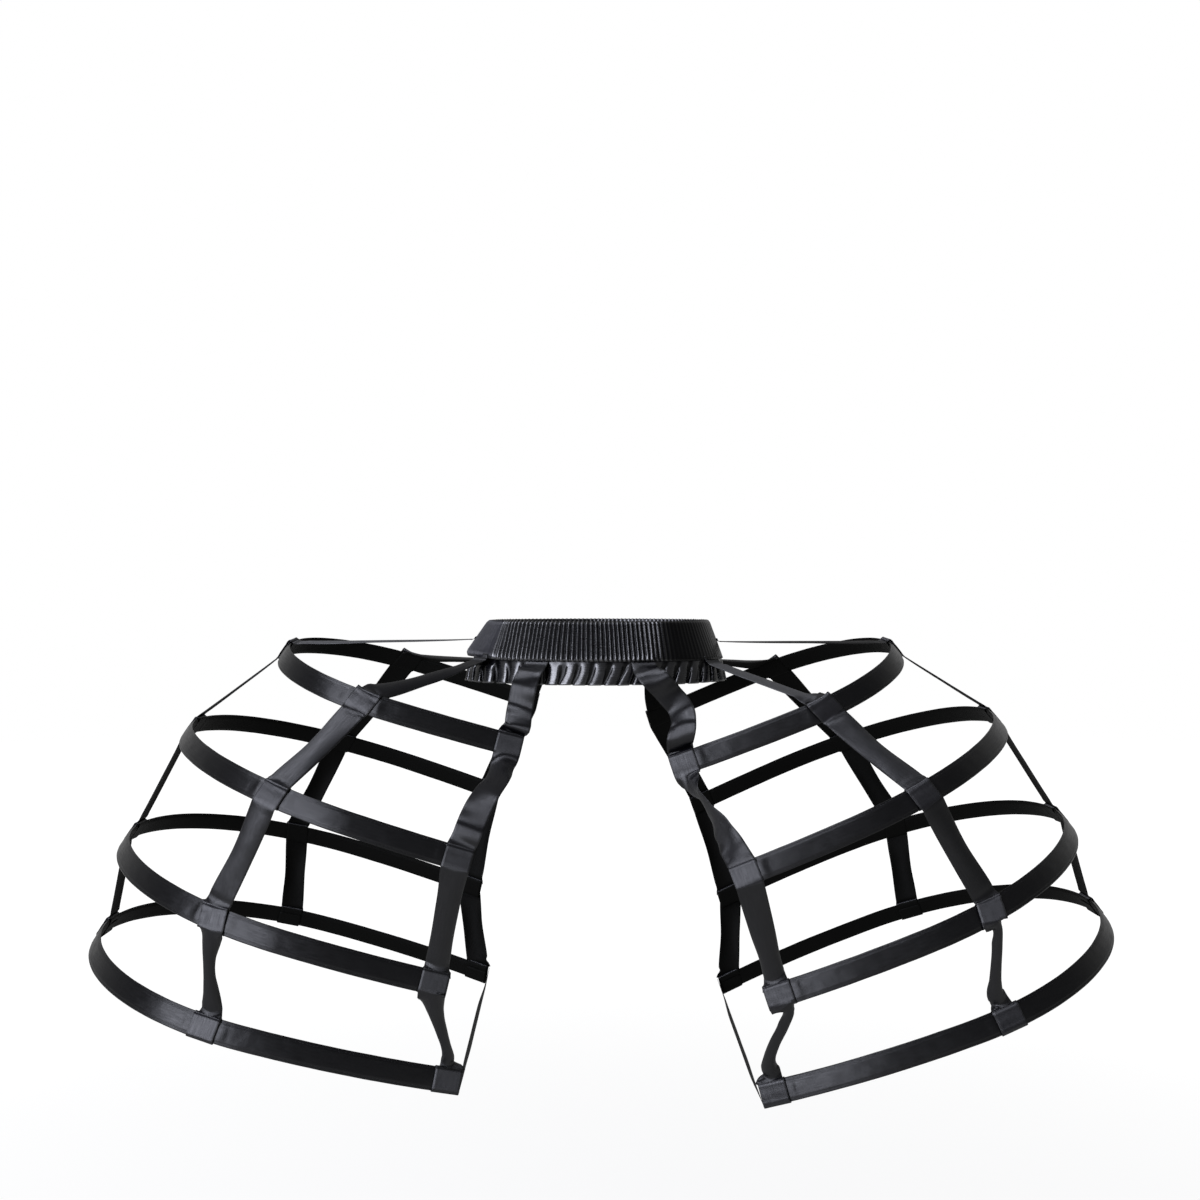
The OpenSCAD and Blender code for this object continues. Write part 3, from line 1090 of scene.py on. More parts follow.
@dataclass
class HoopCasing:
    """Two satin ribbons sewn edge to edge over a bone, and flat across both ends.

    Half of its section is a crown over the bone, a groove at the stitch line and a lip at the edge. Where a
    wrap holds it, it is drawn in, and beside the wrap it swells and puckers.
    """

    side: Side
    hoop: Hoop
    flat_half: float = 7.1
    crown: float = 1.6
    crown_fall: float = 0.07
    stitch_at: float = 8.5
    groove: float = 0.62
    lip_at: float = 9.5
    lip: float = 0.85
    sewn_end: float = 6.0
    sewn_share: float = 0.45
    held_inset: float = 1.0
    held_w: float = 0.985
    held_t: float = 0.95
    swell: float = 0.9
    swell_at: float = 3.2
    swell_span: float = 2.8
    pucker: float = 0.2
    pucker_span: float = 1.35
    pucker_slope: float = 0.6
    pucker_shift: float = 2.1
    pucker_start: float = 3.0
    pucker_fade: float = 13.0
    pucker_reach: float = 40.0
    drift: Waver = Waver(0.3, 1 / 48)
    uneven_w: Waver = Waver(0.012, 1 / 17)
    uneven_w_row: float = 3.0
    uneven_t: Waver = Waver(0.16, 1 / 11, 3.0, 1 / 9)
    cells: tuple[float, float] = (3.6, 1.05)

    @property
    def node(self) -> str:
        """The node that the piece stands for."""
        return f"{self.side.hand}_hoop_{self.hoop.number}_casing"

    def half_thickness(self, up: float) -> float:
        """Half of the casing's thickness.

        Args:
            up: Height in the section, from its middle.

        Returns:
            Half of the thickness there.
        """
        edge = abs(up)
        if edge <= self.flat_half:
            return self.crown * (1 - self.crown_fall * (edge / self.flat_half) ** 2)
        if edge <= self.stitch_at:
            shoulder = self.crown * (1 - self.crown_fall)
            return shoulder + (self.groove - shoulder) * smooth(self.flat_half, self.stitch_at, edge)
        if edge <= self.lip_at:
            return self.groove + (self.lip - self.groove) * smooth(self.stitch_at, self.lip_at, edge)
        share = (edge - self.lip_at) / (CASING_W / 2 - self.lip_at)
        return self.lip * math.sqrt(max(0.0, 1 - share * share))

    def place(self, along: float, round_it: float) -> Vector:
        """Lays a point of the casing.

        Args:
            along: Distance from the front end.
            round_it: Distance round the section from the middle of its face.

        Returns:
            The point.
        """
        half = CASING_W / 2
        at = along - self.hoop.half_length
        face = abs(round_it) <= half
        up = round_it if face else math.copysign(CASING_W, round_it) - round_it
        flat = 1 - (up / half) ** 2
        own = self.hoop.number + 10 * self.side
        wide = 1.0 + self.uneven_w.at(at, self.uneven_w_row, own)
        thick = self.half_thickness(up) + flat * self.uneven_t.at(at, up, own)
        for place in Place:
            away = abs(at - crossing(place, self.hoop)) - WRAP_L / 2
            if away < -self.held_inset:
                thick *= self.held_t
                wide *= self.held_w
            elif away < self.pucker_reach:
                thick += self.swell * flat * math.exp(-(((away - self.swell_at) / self.swell_span) ** 2))
                phase = (at + self.pucker_slope * up) / self.pucker_span + self.pucker_shift * place
                fade = math.exp(-away / self.pucker_fade) * smooth(0, self.pucker_start, away)
                thick += self.pucker * flat * math.sin(phase) * fade
        end = self.hoop.half_length - abs(at)
        thick *= self.sewn_share + (1 - self.sewn_share) * smooth(0, self.sewn_end, end)
        out = self.drift.at(at, 0.0, own) + (thick if face else -thick)
        return self.hoop.point(self.side, at, up * wide, out)

    def slot(self, along: float, round_it: float) -> int:
        """The finish's number: 0 on the face, and 1 on the side inside the basket."""
        return int(abs(round_it) > CASING_W / 2)

    def build(self, finishes: Sequence[bpy.types.Material]) -> bpy.types.Object:
        """Builds the casing.

        Args:
            finishes: Satin for its face and for its back.

        Returns:
            The piece.
        """
        mesh = bmesh.new()
        length = 2 * self.hoop.half_length
        Sheet(length, 2 * CASING_W, *self.cells).lay(mesh, self.place, slot=self.slot)
        bmesh.ops.remove_doubles(mesh, verts=mesh.verts, dist=WELD)
        open_ends = [edge for edge in mesh.edges if edge.is_boundary]
        bmesh.ops.holes_fill(mesh, edges=open_ends, sides=0)
        bmesh.ops.recalc_face_normals(mesh, faces=mesh.faces)
        bone = f"{self.side.hand}_hoop_{self.hoop.number}_bone"
        declared = Declared(self.node, "casing_satin", (CASING_W, length), Hold.STRETCHED, (bone,))
        return declared.finish(mesh, finishes)


@dataclass
class WrapSet:
    """The four short ribbon loops that hold one strap to its hoops."""

    side: Side
    place: Place
    loop_w: float = 10.72
    loop_t: float = 2.1
    squareness: float = 5.0
    fold: float = 0.15
    fold_from: float = 5.0
    fold_slack: float = 0.8
    slack: Waver = Waver(0.6, 1 / 6)
    crumple: Waver = Waver(0.18, 1 / 5, 1.0, 1 / 6)
    # The half of each loop on the hoop's inside, which gets the dull back satin as painted shade
    inside: tuple[float, float] = (0.25, 0.75)
    cells: tuple[float, float] = (1.0, 1.8)

    @property
    def node(self) -> str:
        """The node that the piece stands for."""
        return f"{self.side.hand}_{self.place.label}_wraps"

    @property
    def round_loop(self) -> float:
        """Length of ribbon in one loop."""
        return 4 * self.loop_w + self.loop_t

    def section(self, turn: float) -> tuple[float, float]:
        """The loop's section.

        Args:
            turn: Turn from its face, in radians.

        Returns:
            How far up and how far out the ribbon is there.
        """
        power = 2 / self.squareness
        up = math.copysign(abs(math.sin(turn)) ** power, math.sin(turn)) * self.loop_w
        out = math.copysign(abs(math.cos(turn)) ** power, math.cos(turn)) * self.loop_t
        return up, out

    def slot(self, along: float, aside: float) -> int:
        """The finish's number: 0 on the face, and 1, the dull back satin as painted shade, on the side inside
        the basket.
        """
        start, stop = self.inside
        return int(start < along / self.round_loop < stop)

    def build(self, finishes: Sequence[bpy.types.Material]) -> bpy.types.Object:
        """Builds the loops.

        Args:
            finishes: Satin for their face, and for their back and, as painted shade, the side inside the
                basket.

        Returns:
            The piece.
        """
        mesh = bmesh.new()
        for hoop in HOOPS:
            middle = crossing(self.place, hoop)
            skew = patch_skew(self.side, self.place, hoop)
            own = hoop.number + 5 * self.place + 40 * self.side

            def lay_loop(along: float, aside: float) -> Vector:
                """Lays a point of one loop.

                Args:
                    along: Distance round the loop.
                    aside: Distance from its middle line.

                Returns:
                    The point.
                """
                up, out = self.section(2 * math.pi * along / self.round_loop)
                loose = self.fold * (self.fold_slack + self.slack.at(aside, 0.0, own))
                loose *= smooth(self.fold_from, self.loop_w, up)
                out += self.crumple.at(aside, up, own)
                return hoop.point(self.side, middle + self.side * aside - skew * up, up + loose, out)

            start = (hoop.number - 1) * self.round_loop
            Sheet(self.round_loop, WRAP_L, *self.cells).lay(mesh, lay_loop, start, slot=self.slot)
        bmesh.ops.remove_doubles(mesh, verts=mesh.verts, dist=WELD)
        bmesh.ops.recalc_face_normals(mesh, faces=mesh.faces)
        rests_on = tuple(f"{self.side.hand}_hoop_{hoop.number}_casing" for hoop in HOOPS)
        flat = (WRAP_L, len(HOOPS) * self.round_loop)
        return Declared(self.node, "wrap_satin", flat, Hold.FOLDED, rests_on).finish(mesh, finishes, CLOTH_T)


@dataclass(frozen=True)
class Via:
    """One place on a slack length between its two seats.

    share is how far along it lies, out and aside move it from the straight line, turn twists it about that
    line, and curl rolls its edges in.
    """

    share: float
    out: float
    aside: float
    turn: float
    curl: float


def vias(*rows: tuple[float, float, float, float, float]) -> tuple[Via, ...]:
    """Makes the places of a length from rows of share, out, aside, turn and curl."""
    return tuple(Via(*row) for row in rows)


TAUT = vias((0.07, 0, 0, 0, 4), (0.5, 0, 0, 0, 9), (0.93, 0, 0, 0, 8))
# A length that isn't at the side draws in between its seats, and the two front inner ones most
DRAWN_IN = vias((0.07, 0, 0, 0, 8), (0.5, 0, 0, 0, 44), (0.92, 0, 0, 0, 20))
BACK_LOOSE = vias((0.2, 6, 0, 0, 8), (0.5, 9, 0, 0, 20), (0.8, 5, 0, 0, 12))
# The lengths that hang in their own way, by strap and by the number of hoops above them
SLACK: dict[tuple[Side, Place, int], tuple[Via, ...]] = {
    # The top lengths of the inner straps hang in loose folds, at the front over the frill
    (Side.LEFT, Place.FRONT_INNER, 0): vias(
        (0.12, 6, 0, 0, 4), (0.36, 8, -1, 0, 6), (0.62, 2, 0, 5, 8), (0.8, 6.5, 2, 6, 8), (0.93, 8.5, 3, 4, 6)
    ),
    (Side.RIGHT, Place.FRONT_INNER, 0): vias(
        (0.08, 9, -3, 4, 4), (0.24, 15, 2, 12, 6), (0.4, 8, 10, 0, 16), (0.56, 7, 15, 4, 20),
        (0.76, 13, 12, 12, 8), (0.92, 9, 3, 6, 8),
    ),
    (Side.LEFT, Place.BACK_INNER, 0): BACK_LOOSE,
    (Side.RIGHT, Place.BACK_INNER, 0): BACK_LOOSE,
    # The right quarter strap leaves the waist face up and stays so until it folds over the top hoop
    (Side.RIGHT, Place.FRONT_QUARTER, 0): vias(
        (0.07, 0, 0, 0, 4), (0.5, 0, 0, -14, 9), (0.84, 0, 0, -28, 9), (0.95, 0, 0, -16, 6)
    ),
    # Under the top hoop the left inner length bellies out, and the right one turns edge-on and opens again
    (Side.LEFT, Place.FRONT_INNER, 1): vias(
        (0.1, 1, 0, 20, 44), (0.28, 6, 1, 30, 30), (0.5, 11, -1, 22, 8), (0.72, 11, -2, 12, 4),
        (0.9, 10, -1, 4, 4), (0.97, 4, 0, 0, 4),
    ),
    (Side.RIGHT, Place.FRONT_INNER, 1): vias(
        (0.1, 0, -2, 46, 30), (0.26, 0, -2, 82, 18), (0.45, 0, -1, 72, 10), (0.7, 2, 0, 40, 6),
        (0.9, 2, 0, 12, 5),
    ),
    (Side.LEFT, Place.FRONT_INNER, 2): vias((0.08, 0, 0, 0, 24), (0.5, 0, 0, 0, 60), (0.92, 0, 0, 0, 54)),
    (Side.RIGHT, Place.FRONT_INNER, 2): vias((0.08, 0, 0, 0, 10), (0.5, 0, 0, 0, 46), (0.92, 0, 0, 0, 70)),
    # Over the lowest hoop the lengths hang slack, and each pinches at its own height
    (Side.LEFT, Place.FRONT_INNER, 3): vias(
        (0.06, 0, 0, 0, 34), (0.28, 0, -0.5, 0, 96), (0.55, 0, 0.5, 0, 140), (0.8, 0, 1.5, 0, 160),
        (0.94, 0, 1, 0, 130),
    ),
    (Side.RIGHT, Place.FRONT_INNER, 3): vias(
        (0.06, 0, 5, 0, 112), (0.3, 0, 3.5, 0, 150), (0.58, 0, -2, 0, 150), (0.82, 0, -4, 0, 126),
        (0.94, 0, -2.5, 0, 90),
    ),
    (Side.LEFT, Place.FRONT_QUARTER, 3): vias(
        (0.06, 0, -1, 0, 40), (0.23, 0, -3, 0, 92), (0.5, 0, -3, 0, 146), (0.77, 0, -1.5, 0, 108),
        (0.93, 0, -0.5, 0, 72),
    ),
    (Side.RIGHT, Place.FRONT_QUARTER, 3): vias(
        (0.06, 0, 3, 0, 124), (0.3, 0, 2, 0, 158), (0.54, 0, -1, 0, 158), (0.74, 0, -3, 0, 136),
        (0.92, 0, -3, 0, 86),
    ),
}
# The right inner strap was sewn on nearer the middle than its twin, by this many degrees
SEWN_ASIDE = {(Side.RIGHT, Place.FRONT_INNER): -8.0}


@dataclass
class Strap:
    """One ribbon strap: it hangs from the waist, folds over the face of each hoop and turns under the last.

    Its ways over the waistband are pairs of out and height, and its ways over a hoop are pairs of up and out.
    """

    side: Side
    place: Place
    on_band: Pairs = ((1.7, 0.0), (2.1, -3.5), (5.4, -5.0))
    in_seam: Pairs = ((0.68, 3.5), (0.85, -1.0), (2.6, -4.5))
    to_first: Pairs = ((11.1, -2.4), (11.1, -0.5))
    over_edge: Pairs = ((11.1, -0.9), (11.4, 1.0), (10.7, 2.7))
    over_first: Pairs = ((11.5, -0.9), (11.8, 1.0), (10.9, 2.7))
    down_face: Pairs = ((5.0, 3.15), (-5.0, 3.15), (-10.4, 2.95))
    under_edge: Pairs = (
        (-10.6, 2.6), (-11.2, 1.0), (-11.1, -1.2), (-10.0, -2.6), (-2.0, -2.9), (5.0, -2.9)
    )
    tucked: Pairs = ((13.0, 2.3), (10.5, 2.62), (4.0, 2.62))
    tucked_curl: tuple[float, ...] = (0.85, 0.5, 0.0)
    patch_stop: int = 5
    cells: tuple[float, float] = (2.6, 2.1)

    @property
    def node(self) -> str:
        """The node that the piece stands for."""
        return f"{self.side.hand}_{self.place.label}_strap"

    def on_hoop(self, hoop: Hoop, up: float, out: float, curl: float = 0.0, stray: float = 0.0) -> Stop:
        """A stop on or beside a hoop's band, at the strap's crossing and a stray along the hoop from it."""
        at = crossing(self.place, hoop) - patch_skew(self.side, self.place, hoop) * up + stray
        return Stop(hoop.point(self.side, at, up, out), hoop.across(self.side, at), curl)

    def over_hoop(self, hoop: Hoop, way: Pairs) -> list[Stop]:
        """Stops of a way over a hoop."""
        return [self.on_hoop(hoop, up, out) for up, out in way]

    def on_waist(self, out: float, height: float) -> Stop:
        """A stop on the waistband, where the strap leaves it."""
        facing = waist_facing(self.side, self.place) + SEWN_ASIDE.get((self.side, self.place), 0.0)
        return Stop(WAIST.point(facing, out + WAIST.stand(facing, height), height), WAIST.along(facing))

    def leave_waist(self) -> list[Stop]:
        """Stops where the strap is sewn to the waistband.

        Returns:
            The stops, from the top down.
        """
        if self.place is Place.SIDE:
            crests = CREST_H * WAIST.gathered(waist_facing(self.side, self.place))
            return [self.on_waist(out + crests, height) for out, height in self.on_band]
        return [self.on_waist(out, WAIST.seam + height) for out, height in self.in_seam]

    def leave_hoop(self, hoop: Hoop) -> list[Stop]:
        """Stops where the strap folds over a hoop's top edge and runs down its face."""
        edge = self.over_first if hoop.number == 1 else self.over_edge
        return self.over_hoop(hoop, edge + self.down_face)

    def reach_hoop(self, hoop: Hoop, curl: float) -> list[Stop]:
        """Stops where the strap tucks in under the fold on the next hoop, its edges still curled in.

        Args:
            hoop: The next hoop.
            curl: Curl of the length that arrives.

        Returns:
            The stops, from the top down.
        """
        if hoop.number == 1:
            return self.over_hoop(hoop, self.to_first)
        turn = run_skew(self.side, self.place, HOOPS[hoop.number - 2], hoop, hoop)
        turn -= patch_skew(self.side, self.place, hoop)
        return [
            self.on_hoop(hoop, up, out, share * curl, -turn * (up - CASING_W / 2))
            for (up, out), share in zip(self.tucked, self.tucked_curl)
        ]

    def turn_under(self, hoop: Hoop) -> list[Stop]:
        """Stops where the strap's end turns under the last hoop's lower edge."""
        return self.over_hoop(hoop, self.over_edge + self.down_face[:-1] + self.under_edge)

    def hang(self, top: Stop, foot: Stop, slack: Sequence[Via]) -> list[Stop]:
        """Stops of a free length.

        Args:
            top: The stop that it leaves.
            foot: The stop that it reaches.
            slack: How it hangs between them.

        Returns:
            The stops between the two.
        """
        line = foot.at - top.at
        down = line.normalized()
        stops = []
        for via in slack:
            across = top.across.lerp(foot.across, via.share)
            across = (across - down * across.dot(down)).normalized()
            outward = down.cross(across)
            at = top.at + line * via.share + outward * via.out + across * via.aside
            turned = Matrix.Rotation(math.radians(via.turn), 3, down) @ across
            stops.append(Stop(at, turned, via.curl))
        return stops

    def lengths(self) -> list[Route]:
        """The strap's lengths, from the waist down.

        Returns:
            A route for each length.
        """
        usual = TAUT if self.place is Place.SIDE else DRAWN_IN
        routes = []
        for hoop in HOOPS:
            start = self.leave_waist() if hoop.number == 1 else self.leave_hoop(HOOPS[hoop.number - 2])
            slack = SLACK.get((self.side, self.place, hoop.number - 1), usual)
            end = self.reach_hoop(hoop, slack[-1].curl)
            routes.append(Route(start + self.hang(start[-1], end[0], slack) + end, STRAP_W / 2))
        routes.append(Route(self.turn_under(HOOPS[-1]), STRAP_W / 2))
        return routes

    def build(self, finishes: Sequence[bpy.types.Material]) -> bpy.types.Object:
        """Builds the strap.

        Args:
            finishes: Satin for its face, for the patches that are drawn tight over the hoops, usually a
                lighter
            copy as painted light, and for its back and the end that turns under.

        Returns:
            The piece.
        """
        mesh = bmesh.new()
        total = 0.0
        for number, route in enumerate(self.lengths()):
            patch_end = route.reached(self.patch_stop) if number else 0.0
            rest = 2 if number == len(HOOPS) else 0

            def slot(along: float, aside: float) -> int:
                """The finish's number: 1 on the patch, and the rest's after it."""
                return 1 if along < patch_end else rest

            Sheet(route.length, STRAP_W, *self.cells).lay(mesh, route.place, total, slot=slot)
            total += route.length
        rests_on = ("waistband_casing", *(f"{self.side.hand}_hoop_{hoop.number}_casing" for hoop in HOOPS))
        declared = Declared(self.node, "strap_satin", (STRAP_W, total), Hold.HUNG, rests_on)
        return declared.finish(mesh, finishes, CLOTH_T)


@dataclass
class InnerTie:
    """Flat ribbon that draws the two ends of the lowest hoop together."""

    side: Side
    width: float = 18.0
    gap: float = 0.95
    sag: float = 3.0
    turn: float = 10.0
    curl: float = 10.0
    cells: tuple[float, float] = (3.0, 2.0)

    @property
    def node(self) -> str:
        """The node that the piece stands for."""
        return f"{self.side.hand}_inner_tie"

    def build(self, finishes: Sequence[bpy.types.Material]) -> bpy.types.Object:
        """Builds the tie.

        Args:
            finishes: Satin for its face and for its back.

        Returns:
            The piece.
        """
        hoop = HOOPS[-1]
        up = hoop.turned(self.side, Vector((0.0, 0.0, 1.0)))
        ends = []
        for end in (-hoop.half_length, hoop.half_length):
            away = math.copysign(self.gap, end) * self.side * hoop.across(self.side, end)
            ends.append(hoop.point(self.side, end) + away)
        front, back = ends
        turn = Matrix.Rotation(math.radians(self.turn), 3, back - front)
        stops = [Stop(front, up)]
        for share in (0.25, 0.5, 0.75):
            drop = up * (-self.sag * 4 * share * (1 - share))
            stops.append(Stop(front.lerp(back, share) + drop, turn @ up, self.curl))
        stops.append(Stop(back, up))
        route = Route(stops, self.width / 2)
        mesh = bmesh.new()
        Sheet(route.length, self.width, *self.cells).lay(mesh, route.place)
        rests_on = (f"{self.side.hand}_hoop_{hoop.number}_casing",)
        declared = Declared(self.node, "strap_satin", (self.width, route.length), Hold.STRETCHED, rests_on)
        return declared.finish(mesh, finishes, CLOTH_T)


@dataclass
class WaistbandCasing:
    """A strip of satin folded over the elastic and drawn up into fine gathers."""

    gathers: int = 148
    steps: int = 8
    drawn_up: float = 1.35
    fold: float = 1.5
    fold_rise: float = 0.6
    sharpness: float = 1.8
    strength: float = 0.8
    face_gap: float = 0.35
    back_gap: float = 0.3
    back_crest: float = 0.3
    sewn_depth: float = 0.42
    sewn_h: float = 5.0
    notch: float = 0.9
    # How far the smooth panel is lifted out of the painted shade of the valleys
    panel_shine: float = 0.62
    panel_from: float = 0.6
    panel_lag: float = 0.281
    wander: Waver = Waver(0.3, 9.0, 2.0, 1 / 55)
    lean: Waver = Waver(0.022, 2.3, 4.0)
    uneven: Waver = Waver(0.34, 0.77, 6.0, 1 / 40)
    cell_across: float = 2.9
    node: str = "waistband_casing"

    def stray(self, quarters: float, height: float) -> float:
        """How far the gathers wander and lean from their even places, in quarters."""
        away = self.wander.at(quarters, height) + height * self.lean.at(quarters)
        return 4 / self.gathers * away * seam_fade(quarters)

    def height(self, aside: float) -> float:
        """Height on the band of a place in the strip."""
        return BAND_H / 2 - max(0.0, abs(aside) - self.fold)

    def crest(self, quarters: float, height: float) -> float:
        """Height of the gathers at a place.

        Args:
            quarters: Quarters of the oval from the strip's start.
            height: Distance up the band from its middle.

        Returns:
            The height, from 0 in a valley to about 1 on a crest.
        """
        phase = self.gathers * quarters / 4
        wave = (0.5 + 0.5 * math.cos(2 * math.pi * phase)) ** self.sharpness
        strength = self.strength + self.uneven.at(round(phase) % self.gathers, height)
        return wave * strength * WAIST.gathered(WAIST.facing(quarters % 4))

    def panel(self, along: float) -> float:
        """Share of the smooth panel at a place of the strip, from 0 to 1."""
        return WAIST.panel(WAIST.facing(WAIST.quarters(along) % 4))

    def shine(self, along: float, aside: float) -> float:
        """How far a place stands out of its gathers, from 0 to 1, lifted on the smooth panel; where low, it
        is painted shade.
        """
        crest = self.crest(WAIST.quarters(along), self.height(aside))
        return min(1.0, crest + self.panel_shine * self.panel(along))

    def slot(self, along: float, aside: float) -> int:
        """The finish's number: 0 on the gathers, and 1 on the smooth panel, which lags its shape a little."""
        return int(self.panel(along - self.panel_lag) > self.panel_from)

    def place(self, along: float, aside: float) -> Vector:
        """Lays a point of the strip.

        Args:
            along: Distance round the gathered strip.
            aside: Distance from the fold at the top, negative down the face.

        Returns:
            The point.
        """
        quarters = WAIST.quarters(along)
        drop, height = abs(aside), self.height(aside)
        crest = self.crest(quarters, height)
        facing = WAIST.facing((quarters + self.stray(quarters, height)) % 4)
        free = min(smooth(0, self.sewn_h, drop), smooth(0, self.sewn_h, BAND_H + self.fold - drop))
        depth = self.sewn_depth + (1 - self.sewn_depth) * free
        if aside <= 0:
            out = CHANNEL_HALF + self.face_gap + CREST_H * crest * depth + WAIST.stand(facing, height)
        else:
            out = -(CHANNEL_HALF + self.back_gap + self.back_crest * crest * depth)
        height += self.fold_rise * self.fold * (1 - min(1.0, drop / self.fold)) ** 2
        height += self.notch * (crest - 0.5) * (1 - depth)
        return WAIST.point(facing, out * smooth(0, 2 * self.fold, drop), height)

    def build(self, finishes: Sequence[bpy.types.Material]) -> bpy.types.Object:
        """Builds the gathered strip.

        Args:
            finishes: Satin for its gathers, for its smooth panel and for its back.

        Returns:
            The piece.
        """
        mesh = bmesh.new()
        width = 2 * (BAND_H + self.fold)
        sheet = Sheet(WAIST.length, width, WAIST.length / (self.gathers * self.steps), self.cell_across)
        sheet.lay(mesh, self.place, crest=self.shine, slot=self.slot)
        bmesh.ops.remove_doubles(mesh, verts=mesh.verts, dist=WELD)
        bmesh.ops.recalc_face_normals(mesh, faces=mesh.faces)
        flat = (width, self.drawn_up * WAIST.length)
        declared = Declared(self.node, "gathered_satin", flat, Hold.GATHERED, ("waistband_elastic",))
        return declared.finish(mesh, finishes, CLOTH_T)


@dataclass
class WaistFrill:
    """The frill caught in the casing's lower seam, which opens into round folds at its hem."""

    folds: int = 48
    steps: int = 14
    drawn_up: float = 1.45
    depth: float = 3.6
    drop: float = 21.0
    tuck: float = 4.4
    neck: float = 1.0
    flare: float = 6.0
    opening: float = 0.75
    sharpness: float = 1.3
    fold_size: float = 0.82
    roundness: tuple[float, float] = (0.13, 0.17)
    lean: float = 7.0
    lean_from: tuple[float, float] = (240.0, 262.0)
    lean_until: tuple[float, float] = (350.0, 310.0)
    follow: float = 0.8
    follow_by: float = 0.35
    uneven: Waver = Waver(0.3, 0.61, 14.0)
    sway: Waver = Waver(0.3, 5.0, 12.0)
    hem_sway: Waver = Waver(0.16, 7.0, 15.0)
    hem_sink: Waver = Waver(0.6, 11.0, 16.0)
    cell_across: float = 1.9
    node: str = "waist_frill"

    @property
    def width(self) -> float:
        """Width of the frill's strip."""
        return self.tuck + self.neck + self.drop

    def shine(self, along: float, aside: float) -> float:
        """How far a place of the frill stands out of its folds, from 0 to 1; where low, it is painted shade.
        """
        return (0.5 + 0.5 * math.cos(2 * math.pi * self.folds * along / WAIST.length)) ** self.sharpness

    def place(self, along: float, aside: float) -> Vector:
        """Lays a point of the frill.

        Args:
            along: Distance round the gathered frill.
            aside: Distance from its middle line, negative up.

        Returns:
            The point.
        """
        quarters = WAIST.quarters(along)
        facing = WAIST.facing(quarters % 4)
        down = aside + self.width / 2 - self.tuck
        if down <= self.neck:
            return WAIST.point(facing, 0.0, WAIST.seam - down)
        share = (down - self.neck) / self.drop
        growth = share**self.opening
        loose = seam_fade(quarters)
        turns = self.folds * quarters / 4
        phase = 2 * math.pi * turns
        size = self.depth * (self.fold_size + self.uneven.at(round(turns) % self.folds))
        out = self.drop * share * math.sin(math.radians(self.flare)) + size * growth * math.cos(phase)
        out += self.follow * WAIST.stand(facing, WAIST.seam) * smooth(0, self.follow_by, share)
        first, second = self.roundness
        swing = growth * (first * math.sin(phase) + second * math.sin(2 * phase))
        swing += loose * (self.sway.at(quarters, share) + growth * self.hem_sway.at(quarters))
        swing *= WAIST.length / self.folds
        swing -= self.lean * share * smooth(*self.lean_from, facing) * smooth(*self.lean_until, facing)
        fall = self.drop * share + growth * loose * self.hem_sink.at(quarters)
        start = WAIST.point(facing, 0.0, WAIST.seam - self.neck)
        return start + WAIST.outward(facing) * out + WAIST.along(facing) * swing - Vector((0.0, 0.0, fall))

    def build(self, finishes: Sequence[bpy.types.Material]) -> bpy.types.Object:
        """Builds the frill.

        Args:
            finishes: Satin for its face and for its back.

        Returns:
            The piece.
        """
        mesh = bmesh.new()
        sheet = Sheet(WAIST.length, self.width, WAIST.length / (self.folds * self.steps), self.cell_across)
        sheet.lay(mesh, self.place, crest=self.shine)
        bmesh.ops.remove_doubles(mesh, verts=mesh.verts, dist=WELD)
        bmesh.ops.reverse_faces(mesh, faces=mesh.faces)
        flat = (self.width, self.drawn_up * WAIST.length)
        declared = Declared(self.node, "gathered_satin", flat, Hold.GATHERED, ("waistband_casing",))
        return declared.finish(mesh, finishes, CLOTH_T)


# Studio


@dataclass(frozen=True)
class Lamp:
    """A soft lamp, in metres. Its level is how bright it makes white paper, where 1 renders as white."""

    name: str
    at: tuple[float, float, float]
    size: tuple[float, float]
    level: float
    colour: str = "#edf0ff"

    def hang(self, target: Vector) -> None:
        """Hangs the lamp.

        Args:
            target: The point that it lights.
        """
        way = target - Vector(self.at)
        light = bpy.data.lights.new(self.name, "AREA")
        light.shape = "RECTANGLE"
        light.color = linear(self.colour)[:3]
        light.size, light.size_y = self.size
        light.energy = self.level * (math.pi * way.length) ** 2
        holder = put_in_scene(self.name, light)
        holder.location = self.at
        holder.rotation_euler = way.to_track_quat("-Z", "Y").to_euler()
        holder.visible_camera = False


